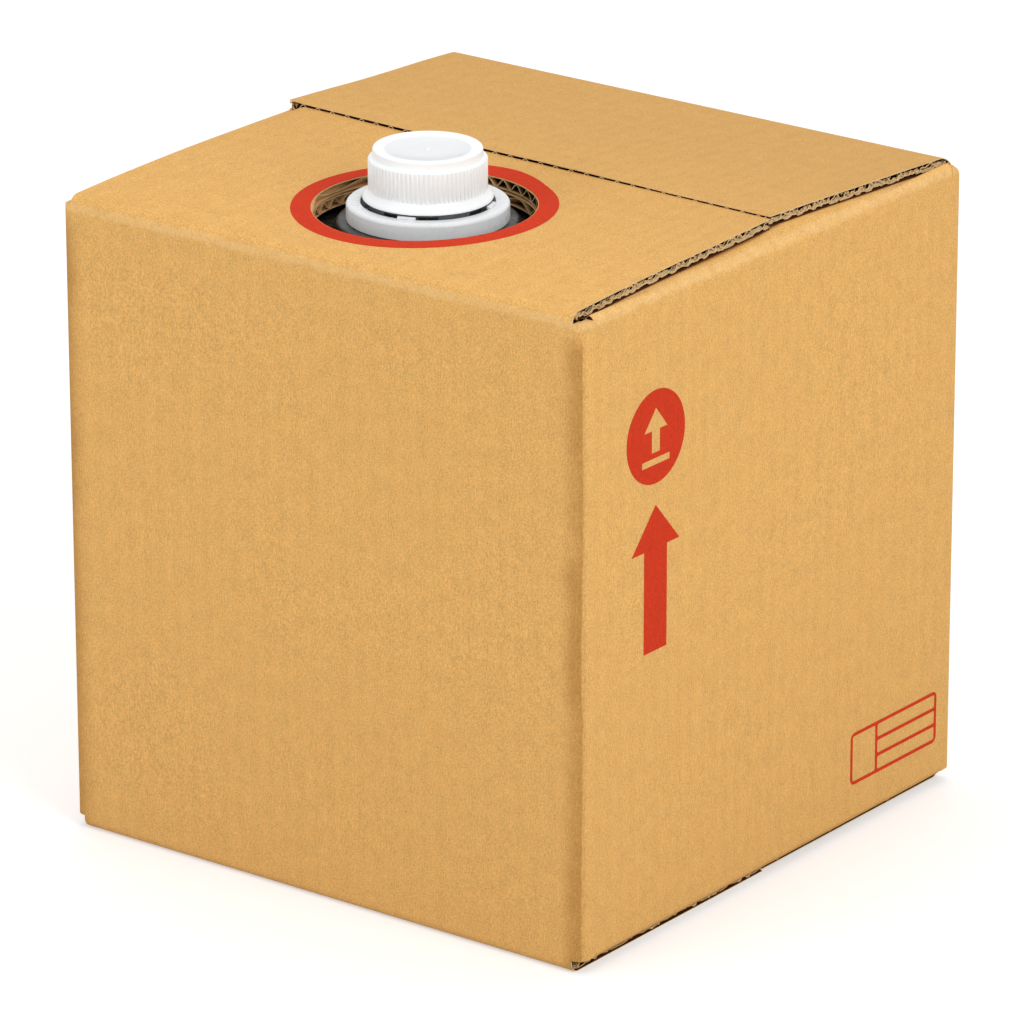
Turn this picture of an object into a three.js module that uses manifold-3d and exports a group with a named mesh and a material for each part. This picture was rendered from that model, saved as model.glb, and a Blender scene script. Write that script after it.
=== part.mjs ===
// A corrugated shipping carton that holds a collapsible liquid container.
// The container's white collar and screw cap stand up through a round hole in the front top flap.
// Millimetres, +Z up. The origin is the middle of the base on the floor, the plain front wall faces -Y
// and the printed wall faces +X.

import * as THREE from 'three';
import { mergeVertices } from 'three/addons/utils/BufferGeometryUtils.js';
import { RoundedBoxGeometry } from 'three/addons/geometries/RoundedBoxGeometry.js';
import Module from 'manifold-3d';

const wasm = await Module();
wasm.setup();

// Clearances
const SEAT_GAP = 0.3; // between pieces that rest on or pass through each other
const SEAM_GAP = 1; // between two flaps that meet edge to edge
const OVERRUN = 5; // how far a cutting shape runs past what it cuts
const WELD = 0.2; // how far the parts of one folded sheet run into each other

// Carton
const CARTON_WIDTH = 285; // outside, along X
const CARTON_DEPTH = 285; // outside, along Y
const WALL_TOP = 294; // top of the front and back walls and of the inner top flaps
const BOARD = 4.8; // thickness of the corrugated board
const CORNER_RADIUS = 5; // outside radius of the four upright corners
const CREASE_RADIUS = 0.6; // inside radius where the board is folded
const OUTER_FLAP_INSET = 5.5; // from a side wall's face to the side edge of an outer flap
const INNER_FLAP_CLEARANCE = 1; // from an inner flap's side edge to the wall beside it
const SLOT_END = 1.4; // how far the upright corners stop short of the folds
const LINER = 0.6; // thickness of each flat face of the board
const FLUTE_PITCH = 8.6; // from crest to crest of the waved sheet between the faces
const FLUTE_WEB = 1.2; // thickness of the wave where it meets a face
const FLUTE_CREST = 0.5; // half width of the space left below a crest
const FLUTE_OPEN_DEPTH = 5; // how deep the flutes stand open behind a cut edge
const FRONT_FLAP_TILT = THREE.MathUtils.degToRad(1.2);
const BACK_FLAP_TILT = THREE.MathUtils.degToRad(2.3);

// Hole in the top
const HOLE_RADIUS = 49.3;
const HOLE_SETBACK = 76.5; // from the front wall's face to the hole's axis

// Collapsible container
const NECK_SETBACK = 79.1; // from the front wall's face to the neck's axis
const CONTAINER_SIDE_CLEARANCE = 1.4;
const CONTAINER_HEADROOM = 1.7; // below the inner top flaps
const CONTAINER_WALL = 1.2;
const CONTAINER_EDGE_RADIUS = 18;
const SHOULDER_RADIUS = 40;
const SHOULDER_HEIGHT = 7.5; // from the container's top to the seat of the collar

// Spout welded into the shoulder
const SPOUT_RADIUS = 21.6;
const SPOUT_BORE = 19;
const SPOUT_FLANGE_RADIUS = 34;
const SPOUT_FLANGE_THICKNESS = 1.6;

// Collar that rings the spout
const COLLAR_RADIUS = 35.8;
const COLLAR_HEIGHT = 7.7;
const COLLAR_WALL = 1.5;
const COLLAR_GROOVE_RADIUS = 29.4;
const COLLAR_EDGE = 0.8; // rounding of the top edges
const COLLAR_WINDOW_GROUPS = 4;
const COLLAR_WINDOW_WIDTH = 5.6;
const COLLAR_WINDOW_DEPTH = 2.2; // cut outwards from the groove
const COLLAR_WINDOW_TURNS = [-92.5, -115.6]; // degrees round the axis, in the first group
const COLLAR_LATCH_TURN = -79.9;
const COLLAR_LATCH_WIDTH = 5;
const COLLAR_LATCH_REACH = 1.9;
const COLLAR_LATCH_DROP = 1; // below the collar's top

// Tamper band, left on the neck when the cap is turned off
const BAND_RADIUS = 26.2;
const BAND_WALL = 1.4;
const BAND_RISE = 0.6; // above the collar's top

// Screw cap
const CAP_LIFT_OFF_COLLAR = 1.4;
const CAP_HEIGHT = 23;
const CAP_RADIUS = 26.5; // over the ribs
const CAP_RIB_DEPTH = 0.7;
const CAP_RIB_COUNT = 80;
const CAP_WALL = 1.5;
const CAP_FLARE_RADIUS = 28.6;
const CAP_FLARE_HEIGHT = 4.2;
const CAP_CROWN_RADIUS = 24; // plain band above the ribs
const CAP_CROWN_HEIGHT = 3;
const CAP_RIM_WIDTH = 4.4;
const CAP_RECESS = 1.2; // of the top panel below its rim
const CAP_PANEL = 2;
const CAP_NUB_RADIUS = 1.6; // moulding gate in the middle of the panel
const CAP_NUB_HEIGHT = 0.7;
const SEAL_THICKNESS = 1.5;
const SEAL_RADIUS = 23.4;

// Printed marks
const INK = 0.2;
const RING_RADIUS = 58.5;
const RING_CLEARANCE = 0.4; // between the hole's edge and the ink
const DISC_RADIUS = 21;
const MARKS_SETBACK = 52.2; // from the front wall's face to the middle of the disc and the arrow
const DISC_DROP = 62.5; // from the top of the wall to the disc's middle
const DISC_ARROW_WIDTH = 17;
const DISC_ARROW_HEIGHT = 20;
const DISC_SHAFT_WIDTH = 6;
const DISC_BAR_WIDTH = 20;
const DISC_BAR_HEIGHT = 3;
const DISC_BAR_DROP = 12.5; // below the disc's middle
const ARROW_GAP = 9.8; // from the disc to the arrow's tip
const ARROW_HEAD_HEIGHT = 19.4;
const ARROW_HEAD_WIDTH = 34.6;
const ARROW_SHAFT_WIDTH = 16.5;
const ARROW_SHAFT_LENGTH = 46.8;
const STAMP_SETBACK = 47.9; // from the back wall's face to the stamp's middle
const STAMP_RISE = 35; // from the floor to the stamp's middle
const STAMP_WIDTH = 68.6;
const STAMP_HEIGHT = 25;
const STAMP_RADIUS = 3;
const STAMP_LINE = 1.6;
const STAMP_ROWS = 3;
const STAMP_SIDE_CELL = 18;

// Smoothness of round surfaces
const ROUND_SEGMENTS = 48;
const FOLD_SEGMENTS = 3;

// Places that follow from the sizes above
const holeY = HOLE_SETBACK - CARTON_DEPTH / 2;
const neckY = NECK_SETBACK - CARTON_DEPTH / 2;
const marksY = MARKS_SETBACK - CARTON_DEPTH / 2;
const discZ = WALL_TOP - DISC_DROP;
const arrowTipZ = discZ - DISC_RADIUS - ARROW_GAP;
const stampY = CARTON_DEPTH / 2 - STAMP_SETBACK;
const containerFoot = 2 * BOARD + SEAT_GAP;
const containerTop = WALL_TOP - BOARD - CONTAINER_HEADROOM;
const shoulderTop = containerTop + SHOULDER_HEIGHT;
const collarFoot = shoulderTop + SEAT_GAP;
const collarTop = collarFoot + COLLAR_HEIGHT;
const capFoot = collarTop + CAP_LIFT_OFF_COLLAR;
const capTop = capFoot + CAP_HEIGHT;
const panelUnderside = capTop - CAP_RECESS - CAP_PANEL;
const sealFoot = panelUnderside - SEAT_GAP - SEAL_THICKNESS;
const spoutLip = sealFoot - SEAT_GAP;
const flapFoot = WALL_TOP + SEAT_GAP;
const flapTop = flapFoot + BOARD;

// Materials
const kraft = new THREE.MeshStandardMaterial({ color: 0xdca96c, roughness: 0.9, metalness: 0 });
const redInk = new THREE.MeshStandardMaterial({ color: 0xcd4530, roughness: 0.7, metalness: 0 });
const darkFilm = new THREE.MeshStandardMaterial({ color: 0x2b2a27, roughness: 0.35, metalness: 0 });
const whitePlastic = new THREE.MeshStandardMaterial({ color: 0xf0f0ee, roughness: 0.4, metalness: 0 });
const liner = new THREE.MeshStandardMaterial({ color: 0xd8d8d4, roughness: 0.6, metalness: 0 });

// A solid from a three.js geometry, for cutting and joining.
function toSolid(geometry) {
  const bare = geometry.clone();
  bare.deleteAttribute('normal');
  bare.deleteAttribute('uv');
  const welded = mergeVertices(bare, 1e-4);
  const corners = welded.index.array;
  const triangles = [];
  for (let i = 0; i < corners.length; i += 3) {
    const [a, b, c] = [corners[i], corners[i + 1], corners[i + 2]];
    if (a !== b && b !== c && c !== a) {
      triangles.push(a, b, c);
    }
  }
  return new wasm.Manifold(new wasm.Mesh({
    numProp: 3,
    vertProperties: new Float32Array(welded.attributes.position.array),
    triVerts: new Uint32Array(triangles),
  }));
}

// A three.js geometry from a solid.
function toGeometry(solid) {
  const mesh = solid.getMesh();
  const geometry = new THREE.BufferGeometry();
  geometry.setAttribute('position', new THREE.BufferAttribute(mesh.vertProperties, 3));
  geometry.setIndex(new THREE.BufferAttribute(mesh.triVerts, 1));
  const flat = geometry.toNonIndexed();
  flat.computeVertexNormals();
  return flat;
}

function joined(...solids) {
  return solids.reduce((whole, solid) => whole.add(solid));
}

// A box between two corners.
function box(low, high) {
  const size = high.map((value, i) => value - low[i]);
  const middle = high.map((value, i) => (value + low[i]) / 2);
  const geometry = new THREE.BoxGeometry(...size);
  geometry.translate(...middle);
  return toSolid(geometry);
}

// A flat shape drawn in X and Y, raised from one height to another.
function raised(shape, low, high) {
  const geometry = new THREE.ExtrudeGeometry(shape, {
    depth: high - low,
    bevelEnabled: false,
    curveSegments: FOLD_SEGMENTS,
  });
  geometry.translate(0, 0, low);
  return toSolid(geometry);
}

// A section drawn in Y and Z, run along X from one place to another.
function alongX(shape, low, high) {
  const geometry = new THREE.ExtrudeGeometry(shape, {
    depth: high - low,
    bevelEnabled: false,
    curveSegments: FOLD_SEGMENTS,
  });
  geometry.translate(0, 0, low);
  geometry.applyMatrix4(new THREE.Matrix4().makeBasis(
    new THREE.Vector3(0, 1, 0),
    new THREE.Vector3(0, 0, 1),
    new THREE.Vector3(1, 0, 0),
  ));
  return toSolid(geometry);
}

// A section drawn in X and Z, run along Y from one place to another.
function alongY(shape, low, high) {
  const geometry = new THREE.ExtrudeGeometry(shape, {
    depth: high - low,
    bevelEnabled: false,
    curveSegments: FOLD_SEGMENTS,
  });
  geometry.translate(0, 0, -high);
  geometry.rotateX(Math.PI / 2);
  return toSolid(geometry);
}

// A turned solid on the neck's axis. The profile is [radius, height] points.
function turned(profile, segments = ROUND_SEGMENTS) {
  const points = profile.map(([radius, height]) => new THREE.Vector2(radius, height));
  points.push(points[0].clone());
  const geometry = new THREE.LatheGeometry(points, segments);
  geometry.rotateX(Math.PI / 2);
  geometry.translate(0, neckY, 0);
  return toSolid(geometry);
}

// A round bar on the neck's axis.
function roundBar(radius, low, high, segments = ROUND_SEGMENTS) {
  const geometry = new THREE.CylinderGeometry(radius, radius, high - low, segments);
  geometry.rotateX(Math.PI / 2);
  geometry.translate(0, neckY, (low + high) / 2);
  return toSolid(geometry);
}

// A round bar on the axis of the hole in the top.
function holeBar(radius, low, high) {
  return roundBar(radius, low, high).translate([0, holeY - neckY, 0]);
}

// A rectangle with round corners, centred on a point.
function roundedRectangle(width, height, radius, centreX = 0, centreY = 0) {
  const [right, top] = [width / 2, height / 2];
  const outline = new THREE.Shape();
  outline.absarc(centreX + right - radius, centreY - top + radius, radius, -Math.PI / 2, 0);
  outline.absarc(centreX + right - radius, centreY + top - radius, radius, 0, Math.PI / 2);
  outline.absarc(centreX - right + radius, centreY + top - radius, radius, Math.PI / 2, Math.PI);
  outline.absarc(centreX - right + radius, centreY - top + radius, radius, Math.PI, 1.5 * Math.PI);
  outline.closePath();
  return outline;
}

// The side walls and the inner flaps are one sleeve, folded over at the top and the bottom.
function sideSleeve() {
  const low = BOARD - WELD;
  const height = WALL_TOP - low;
  const middle = (WALL_TOP + low) / 2;
  const section = roundedRectangle(CARTON_WIDTH, height, BOARD, 0, middle);
  section.holes.push(roundedRectangle(
    CARTON_WIDTH - 2 * BOARD,
    height - 2 * BOARD,
    CREASE_RADIUS,
    0,
    middle,
  ));
  const reach = CARTON_DEPTH / 2 - BOARD - INNER_FLAP_CLEARANCE;
  return alongY(section, -reach, reach);
}

// The front and back walls and the outer bottom flaps, with the bottom folds.
function frontBackSleeve() {
  const outside = CARTON_DEPTH / 2;
  const inside = outside - BOARD;
  const section = new THREE.Shape();
  section.moveTo(-outside, WALL_TOP);
  section.absarc(-inside, BOARD, BOARD, Math.PI, 1.5 * Math.PI);
  section.absarc(inside, BOARD, BOARD, 1.5 * Math.PI, 2 * Math.PI);
  section.lineTo(outside, WALL_TOP);
  section.lineTo(inside, WALL_TOP);
  section.lineTo(inside, BOARD + CREASE_RADIUS);
  section.lineTo(inside - CREASE_RADIUS, BOARD);
  section.lineTo(-inside + CREASE_RADIUS, BOARD);
  section.lineTo(-inside, BOARD + CREASE_RADIUS);
  section.lineTo(-inside, WALL_TOP);
  section.closePath();
  const reach = CARTON_WIDTH / 2 - OUTER_FLAP_INSET;
  return alongX(section, -reach, reach);
}

// The four upright corners, which end at the slots between the flaps.
function uprightCorners() {
  const outline = roundedRectangle(CARTON_WIDTH, CARTON_DEPTH, CORNER_RADIUS);
  outline.holes.push(roundedRectangle(
    CARTON_WIDTH - 2 * BOARD,
    CARTON_DEPTH - 2 * BOARD,
    CREASE_RADIUS,
  ));
  const low = BOARD + SLOT_END;
  const high = WALL_TOP - SLOT_END;
  const wideX = CARTON_WIDTH / 2 - OUTER_FLAP_INSET - WELD;
  const wideY = CARTON_DEPTH / 2 - BOARD - INNER_FLAP_CLEARANCE - WELD;
  const farX = CARTON_WIDTH / 2 + OVERRUN;
  const farY = CARTON_DEPTH / 2 + OVERRUN;
  return raised(outline, low, high)
    .subtract(box([-wideX, -farY, 0], [wideX, farY, WALL_TOP]))
    .subtract(box([-farX, -wideY, 0], [farX, wideY, WALL_TOP]));
}

// The spaces between a board's waved sheet and its faces, as bars along Y. The first and the last bar
// lie on the side edges, so that a cut along a flute leaves an open channel.
function fluteSpaces(reach, top, low, high, wanted) {
  const count = 2 * Math.round((2 * reach) / FLUTE_PITCH);
  const step = (2 * reach) / count;
  const wide = step - FLUTE_WEB;
  const roof = top - LINER;
  const floor = top - BOARD + LINER;
  const bars = [];
  for (let i = 0; i <= count; i += 1) {
    const middle = i * step - reach;
    if (wanted(middle)) {
      const [wideZ, narrowZ] = i % 2 === 0 ? [floor, roof] : [roof, floor];
      const section = new THREE.Shape();
      section.moveTo(middle - wide, wideZ);
      section.lineTo(middle + wide, wideZ);
      section.lineTo(middle + FLUTE_CREST, narrowZ);
      section.lineTo(middle - FLUTE_CREST, narrowZ);
      section.closePath();
      bars.push(alongY(section, low, high));
    }
  }
  return joined(...bars);
}

// The board around the hole where the flutes stand open.
function holeSurround() {
  return holeBar(HOLE_RADIUS + FLUTE_OPEN_DEPTH, WALL_TOP - BOARD - OVERRUN, flapTop + 2 * OVERRUN);
}

// Flutes that a hole of this radius cuts through.
function crossesHole(middle) {
  return Math.abs(middle) < HOLE_RADIUS - FLUTE_WEB;
}

// Walls, glued bottom and inner top flaps: one folded sheet.
function cartonBody() {
  const farX = CARTON_WIDTH / 2 - BOARD - CREASE_RADIUS;
  const farY = CARTON_DEPTH / 2 - BOARD - CREASE_RADIUS;
  const half = SEAM_GAP / 2;
  const outerSeam = box([-CARTON_WIDTH, -half, -OVERRUN], [CARTON_WIDTH, half, BOARD - WELD]);
  const innerSeam = box([-half, -farY, BOARD], [half, farY, 2 * BOARD + OVERRUN]);
  const topSeam = box([-half, -farY, WALL_TOP - BOARD - OVERRUN], [half, farY, WALL_TOP + OVERRUN]);
  const hole = holeBar(HOLE_RADIUS, WALL_TOP - BOARD - OVERRUN, WALL_TOP + OVERRUN);
  const halfBoard = CARTON_DEPTH / 2;
  const flutes = fluteSpaces(halfBoard, WALL_TOP, -halfBoard, halfBoard, crossesHole)
    .rotate([0, 0, 90])
    .translate([0, holeY, 0])
    .intersect(holeSurround());
  return joined(sideSleeve(), frontBackSleeve(), uprightCorners())
    .subtract(outerSeam)
    .subtract(innerSeam)
    .subtract(topSeam)
    .subtract(flutes)
    .subtract(hole);
}

// An outer top flap's blank, drawn at the front: a rounded root above the wall, then a panel that rises
// to the seam. The root is free of the wall, because the fold turns there.
function flapBlank(tilt) {
  const outside = -CARTON_DEPTH / 2;
  const root = outside + BOARD;
  const free = -SEAM_GAP / 2;
  const rise = (free - root) * Math.tan(tilt);
  const section = new THREE.Shape();
  section.moveTo(root, flapFoot);
  section.lineTo(free, flapTop + rise - BOARD / Math.cos(tilt));
  section.lineTo(free, flapTop + rise);
  section.absarc(root, flapFoot, BOARD, Math.PI / 2, Math.PI);
  section.closePath();
  const reach = CARTON_WIDTH / 2 - OUTER_FLAP_INSET;
  return alongX(section, -reach, reach);
}

// The flute spaces of an outer flap, sloped as its panel is.
function flapFlutes(tilt, wanted) {
  const root = BOARD - CARTON_DEPTH / 2;
  const reach = CARTON_WIDTH / 2 - OUTER_FLAP_INSET;
  return fluteSpaces(reach, 0, 0, CARTON_DEPTH, wanted)
    .rotate([THREE.MathUtils.radToDeg(tilt), 0, 0])
    .translate([0, root, flapTop]);
}

// The flap with its cut edges: open flutes at the seam, and a channel along each side edge.
function outerTopFlap(tilt) {
  const reach = CARTON_WIDTH / 2 - OUTER_FLAP_INSET;
  const seamSide = box([-CARTON_WIDTH, -SEAM_GAP / 2 - FLUTE_OPEN_DEPTH, 0], [CARTON_WIDTH, OVERRUN, capTop]);
  const sideEdges = (middle) => Math.abs(middle) > reach - WELD;
  const inside = (middle) => !sideEdges(middle);
  return flapBlank(tilt)
    .subtract(flapFlutes(tilt, inside).intersect(seamSide))
    .subtract(flapFlutes(tilt, sideEdges));
}

function frontTopFlap() {
  const hole = holeBar(HOLE_RADIUS, WALL_TOP - OVERRUN, flapTop + 2 * OVERRUN);
  return outerTopFlap(FRONT_FLAP_TILT)
    .subtract(flapFlutes(FRONT_FLAP_TILT, crossesHole).intersect(holeSurround()))
    .subtract(hole);
}

// The same flap turned half round.
function backTopFlap() {
  return outerTopFlap(BACK_FLAP_TILT).rotate([0, 0, 180]);
}

// A box blown in dark film, with a round shoulder that is open for the spout.
function innerContainer() {
  const width = CARTON_WIDTH - 2 * BOARD - 2 * CONTAINER_SIDE_CLEARANCE;
  const depth = CARTON_DEPTH - 2 * BOARD - 2 * CONTAINER_SIDE_CLEARANCE;
  const height = containerTop - containerFoot;
  const middle = (containerTop + containerFoot) / 2;
  const roundSegments = 3;
  const shell = (inset) => {
    const geometry = new RoundedBoxGeometry(
      width - 2 * inset,
      depth - 2 * inset,
      height - 2 * inset,
      roundSegments,
      CONTAINER_EDGE_RADIUS - inset,
    );
    geometry.translate(0, 0, middle);
    return toSolid(geometry);
  };
  const edge = SHOULDER_HEIGHT / 3;
  const shoulder = (inset) => {
    const radius = SHOULDER_RADIUS - inset;
    const top = shoulderTop - inset;
    const foot = containerTop - CONTAINER_EDGE_RADIUS;
    return turned([[0, foot], [radius, foot], [radius, top - edge], [radius - edge, top], [0, top]]);
  };
  return shell(0)
    .add(shoulder(0))
    .subtract(shell(CONTAINER_WALL))
    .subtract(shoulder(CONTAINER_WALL))
    .subtract(roundBar(SPOUT_RADIUS + SEAT_GAP, shoulderTop - OVERRUN, shoulderTop + OVERRUN));
}

// The spout's tube and its weld flange below the shoulder's roof.
function spout() {
  const flangeTop = shoulderTop - CONTAINER_WALL - SEAT_GAP;
  const flangeFoot = flangeTop - SPOUT_FLANGE_THICKNESS;
  const lipEdge = 0.6;
  return turned([
    [SPOUT_BORE, flangeFoot],
    [SPOUT_FLANGE_RADIUS, flangeFoot],
    [SPOUT_FLANGE_RADIUS, flangeTop],
    [SPOUT_RADIUS, flangeTop],
    [SPOUT_RADIUS, spoutLip - lipEdge],
    [SPOUT_RADIUS - lipEdge, spoutLip],
    [SPOUT_BORE, spoutLip],
  ]);
}

// A box set on a radius of the neck, turned to an angle in degrees.
function radialBox(inner, outer, width, low, high, turn) {
  const geometry = new THREE.BoxGeometry(outer - inner, width, high - low);
  geometry.translate((outer + inner) / 2, 0, (low + high) / 2);
  geometry.rotateZ(THREE.MathUtils.degToRad(turn));
  geometry.translate(0, neckY, 0);
  return toSolid(geometry);
}

// The collar: an outer wall, a flat top and a groove whose wall has windows and latches.
function neckCollar() {
  const floorTop = collarFoot + COLLAR_WALL;
  const grooveWall = COLLAR_GROOVE_RADIUS + COLLAR_WALL;
  const skirt = COLLAR_RADIUS - COLLAR_WALL;
  let collar = turned([
    [SPOUT_RADIUS + SEAT_GAP, collarFoot],
    [grooveWall, collarFoot],
    [grooveWall, collarTop - COLLAR_WALL],
    [skirt, collarTop - COLLAR_WALL],
    [skirt, collarFoot],
    [COLLAR_RADIUS, collarFoot],
    [COLLAR_RADIUS, collarTop - COLLAR_EDGE],
    [COLLAR_RADIUS - COLLAR_EDGE, collarTop],
    [COLLAR_GROOVE_RADIUS, collarTop],
    [COLLAR_GROOVE_RADIUS, floorTop],
    [SPOUT_RADIUS + SEAT_GAP, floorTop],
  ]);
  for (let group = 0; group < COLLAR_WINDOW_GROUPS; group += 1) {
    const turn = (group * 360) / COLLAR_WINDOW_GROUPS;
    for (const windowTurn of COLLAR_WINDOW_TURNS) {
      collar = collar.subtract(radialBox(
        COLLAR_GROOVE_RADIUS - COLLAR_WALL,
        COLLAR_GROOVE_RADIUS + COLLAR_WINDOW_DEPTH,
        COLLAR_WINDOW_WIDTH,
        floorTop + COLLAR_WALL,
        collarTop + OVERRUN,
        windowTurn + turn,
      ));
    }
    collar = collar.add(radialBox(
      COLLAR_GROOVE_RADIUS - COLLAR_LATCH_REACH,
      COLLAR_GROOVE_RADIUS + COLLAR_WALL / 2,
      COLLAR_LATCH_WIDTH,
      floorTop - COLLAR_WALL / 2,
      collarTop - COLLAR_LATCH_DROP,
      COLLAR_LATCH_TURN + turn,
    ));
  }
  return collar;
}

// The band that the cap leaves in the groove.
function tamperBand() {
  const foot = collarFoot + COLLAR_WALL + SEAT_GAP;
  const top = collarTop + BAND_RISE;
  const edge = BAND_WALL / 3;
  return turned([
    [BAND_RADIUS - BAND_WALL, foot],
    [BAND_RADIUS, foot],
    [BAND_RADIUS, top - edge],
    [BAND_RADIUS - edge, top],
    [BAND_RADIUS - BAND_WALL, top],
  ]);
}

// The cap: a ribbed skirt on a flared foot, with a recessed top panel.
function screwCap() {
  const ribRoot = CAP_RADIUS - CAP_RIB_DEPTH;
  const bore = ribRoot - CAP_WALL;
  const flareTop = capFoot + CAP_FLARE_HEIGHT;
  const ribTop = capTop - CAP_CROWN_HEIGHT;
  const lip = 1; // upright edge of the flared foot
  const crownEdge = 0.8;
  const rimInner = CAP_CROWN_RADIUS - CAP_RIM_WIDTH;
  const body = turned([
    [0, panelUnderside],
    [bore, panelUnderside],
    [bore, flareTop],
    [CAP_FLARE_RADIUS - CAP_WALL, capFoot],
    [CAP_FLARE_RADIUS, capFoot],
    [CAP_FLARE_RADIUS, capFoot + lip],
    [CAP_RADIUS, flareTop],
    [ribRoot, flareTop],
    [ribRoot, ribTop],
    [CAP_CROWN_RADIUS, ribTop + crownEdge],
    [CAP_CROWN_RADIUS, capTop - crownEdge],
    [CAP_CROWN_RADIUS - crownEdge, capTop],
    [rimInner, capTop],
    [rimInner - CAP_RECESS, capTop - CAP_RECESS],
    [CAP_NUB_RADIUS, capTop - CAP_RECESS],
    [CAP_NUB_RADIUS, capTop - CAP_RECESS + CAP_NUB_HEIGHT],
    [0, capTop - CAP_RECESS + CAP_NUB_HEIGHT],
  ]);
  return body.add(ribRing(ribRoot, flareTop - WELD, ribTop));
}

// The ribs as one toothed ring round the skirt.
function ribRing(ribRoot, low, high) {
  const step = (2 * Math.PI) / CAP_RIB_COUNT;
  const inside = ribRoot - CAP_WALL / 2;
  const outline = new THREE.Shape();
  const at = (radius, turn) => [radius * Math.cos(turn), neckY + radius * Math.sin(turn)];
  outline.moveTo(...at(ribRoot, 0));
  for (let rib = 0; rib < CAP_RIB_COUNT; rib += 1) {
    const start = rib * step;
    outline.lineTo(...at(ribRoot, start + 0.2 * step));
    outline.lineTo(...at(CAP_RADIUS, start + 0.4 * step));
    outline.lineTo(...at(CAP_RADIUS, start + 0.8 * step));
    if (rib < CAP_RIB_COUNT - 1) {
      outline.lineTo(...at(ribRoot, start + step));
    }
  }
  outline.closePath();
  const middle = new THREE.Path();
  middle.absarc(0, neckY, inside, 0, 2 * Math.PI, true);
  outline.holes.push(middle);
  const geometry = new THREE.ExtrudeGeometry(outline, {
    depth: high - low,
    bevelEnabled: false,
    curveSegments: ROUND_SEGMENTS / 2,
  });
  geometry.translate(0, 0, low);
  return toSolid(geometry);
}

// The liner between the cap's panel and the spout's lip.
function capSeal() {
  return roundBar(SEAL_RADIUS, sealFoot, sealFoot + SEAL_THICKNESS);
}

// The ink ring round the hole, a film that follows the front flap's slope.
function printRing() {
  const flap = flapBlank(FRONT_FLAP_TILT);
  const film = flap.translate([0, 0, SEAT_GAP + INK]).subtract(flap.translate([0, 0, SEAT_GAP]));
  const high = flapTop + 2 * OVERRUN;
  const ring = holeBar(RING_RADIUS, WALL_TOP, high)
    .subtract(holeBar(HOLE_RADIUS + RING_CLEARANCE, WALL_TOP - OVERRUN, high + OVERRUN));
  return film.intersect(ring);
}

// An upright arrow in the printed wall's plane, from its tip.
function arrowOutline(kind, y, tip, headWidth, headHeight, shaftWidth, shaftLength) {
  const outline = new kind();
  const neck = tip - headHeight;
  outline.moveTo(y, tip);
  outline.lineTo(y - headWidth / 2, neck);
  outline.lineTo(y - shaftWidth / 2, neck);
  outline.lineTo(y - shaftWidth / 2, neck - shaftLength);
  outline.lineTo(y + shaftWidth / 2, neck - shaftLength);
  outline.lineTo(y + shaftWidth / 2, neck);
  outline.lineTo(y + headWidth / 2, neck);
  outline.closePath();
  return outline;
}

// An ink film on the printed wall.
function wallFilm(shape) {
  return alongX(shape, CARTON_WIDTH / 2, CARTON_WIDTH / 2 + INK);
}

function printArrow() {
  return wallFilm(arrowOutline(
    THREE.Shape,
    marksY,
    arrowTipZ,
    ARROW_HEAD_WIDTH,
    ARROW_HEAD_HEIGHT,
    ARROW_SHAFT_WIDTH,
    ARROW_SHAFT_LENGTH,
  ));
}

// A disc with a plain arrow over a bar left clear of ink.
function printDisc() {
  const discSegments = 48;
  const disc = new THREE.Shape();
  for (let i = 0; i < discSegments; i += 1) {
    const turn = (i * 2 * Math.PI) / discSegments;
    const point = [marksY + DISC_RADIUS * Math.cos(turn), discZ + DISC_RADIUS * Math.sin(turn)];
    if (i === 0) {
      disc.moveTo(...point);
    } else {
      disc.lineTo(...point);
    }
  }
  disc.closePath();
  const headHeight = DISC_ARROW_HEIGHT / 2;
  disc.holes.push(arrowOutline(
    THREE.Path,
    marksY,
    discZ + headHeight + DISC_BAR_HEIGHT,
    DISC_ARROW_WIDTH,
    headHeight,
    DISC_SHAFT_WIDTH,
    headHeight,
  ));
  const bar = new THREE.Path();
  bar.moveTo(marksY - DISC_BAR_WIDTH / 2, discZ - DISC_BAR_DROP);
  bar.lineTo(marksY + DISC_BAR_WIDTH / 2, discZ - DISC_BAR_DROP);
  bar.lineTo(marksY + DISC_BAR_WIDTH / 2, discZ - DISC_BAR_DROP + DISC_BAR_HEIGHT);
  bar.lineTo(marksY - DISC_BAR_WIDTH / 2, discZ - DISC_BAR_DROP + DISC_BAR_HEIGHT);
  bar.closePath();
  disc.holes.push(bar);
  return wallFilm(disc);
}

// A ruled frame with one side cell and a column of rows.
function printStamp() {
  const frame = roundedRectangle(STAMP_WIDTH, STAMP_HEIGHT, STAMP_RADIUS, stampY, STAMP_RISE);
  const cell = (width, height, y, z) => frame.holes.push(
    roundedRectangle(width, height, STAMP_LINE / 2, y, z),
  );
  const inner = STAMP_HEIGHT - 2 * STAMP_LINE;
  const left = stampY - STAMP_WIDTH / 2;
  cell(STAMP_SIDE_CELL, inner, left + STAMP_LINE + STAMP_SIDE_CELL / 2, STAMP_RISE);
  const rowStart = left + 2 * STAMP_LINE + STAMP_SIDE_CELL;
  const rowWidth = stampY + STAMP_WIDTH / 2 - STAMP_LINE - rowStart;
  const rowHeight = (inner - (STAMP_ROWS - 1) * STAMP_LINE) / STAMP_ROWS;
  const lowest = STAMP_RISE - STAMP_HEIGHT / 2 + STAMP_LINE + rowHeight / 2;
  for (let row = 0; row < STAMP_ROWS; row += 1) {
    cell(rowWidth, rowHeight, rowStart + rowWidth / 2, lowest + row * (rowHeight + STAMP_LINE));
  }
  return wallFilm(frame);
}

const carton = new THREE.Group();

function addPiece(name, solid, material) {
  const mesh = new THREE.Mesh(toGeometry(solid), material);
  mesh.name = name;
  carton.add(mesh);
}

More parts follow.
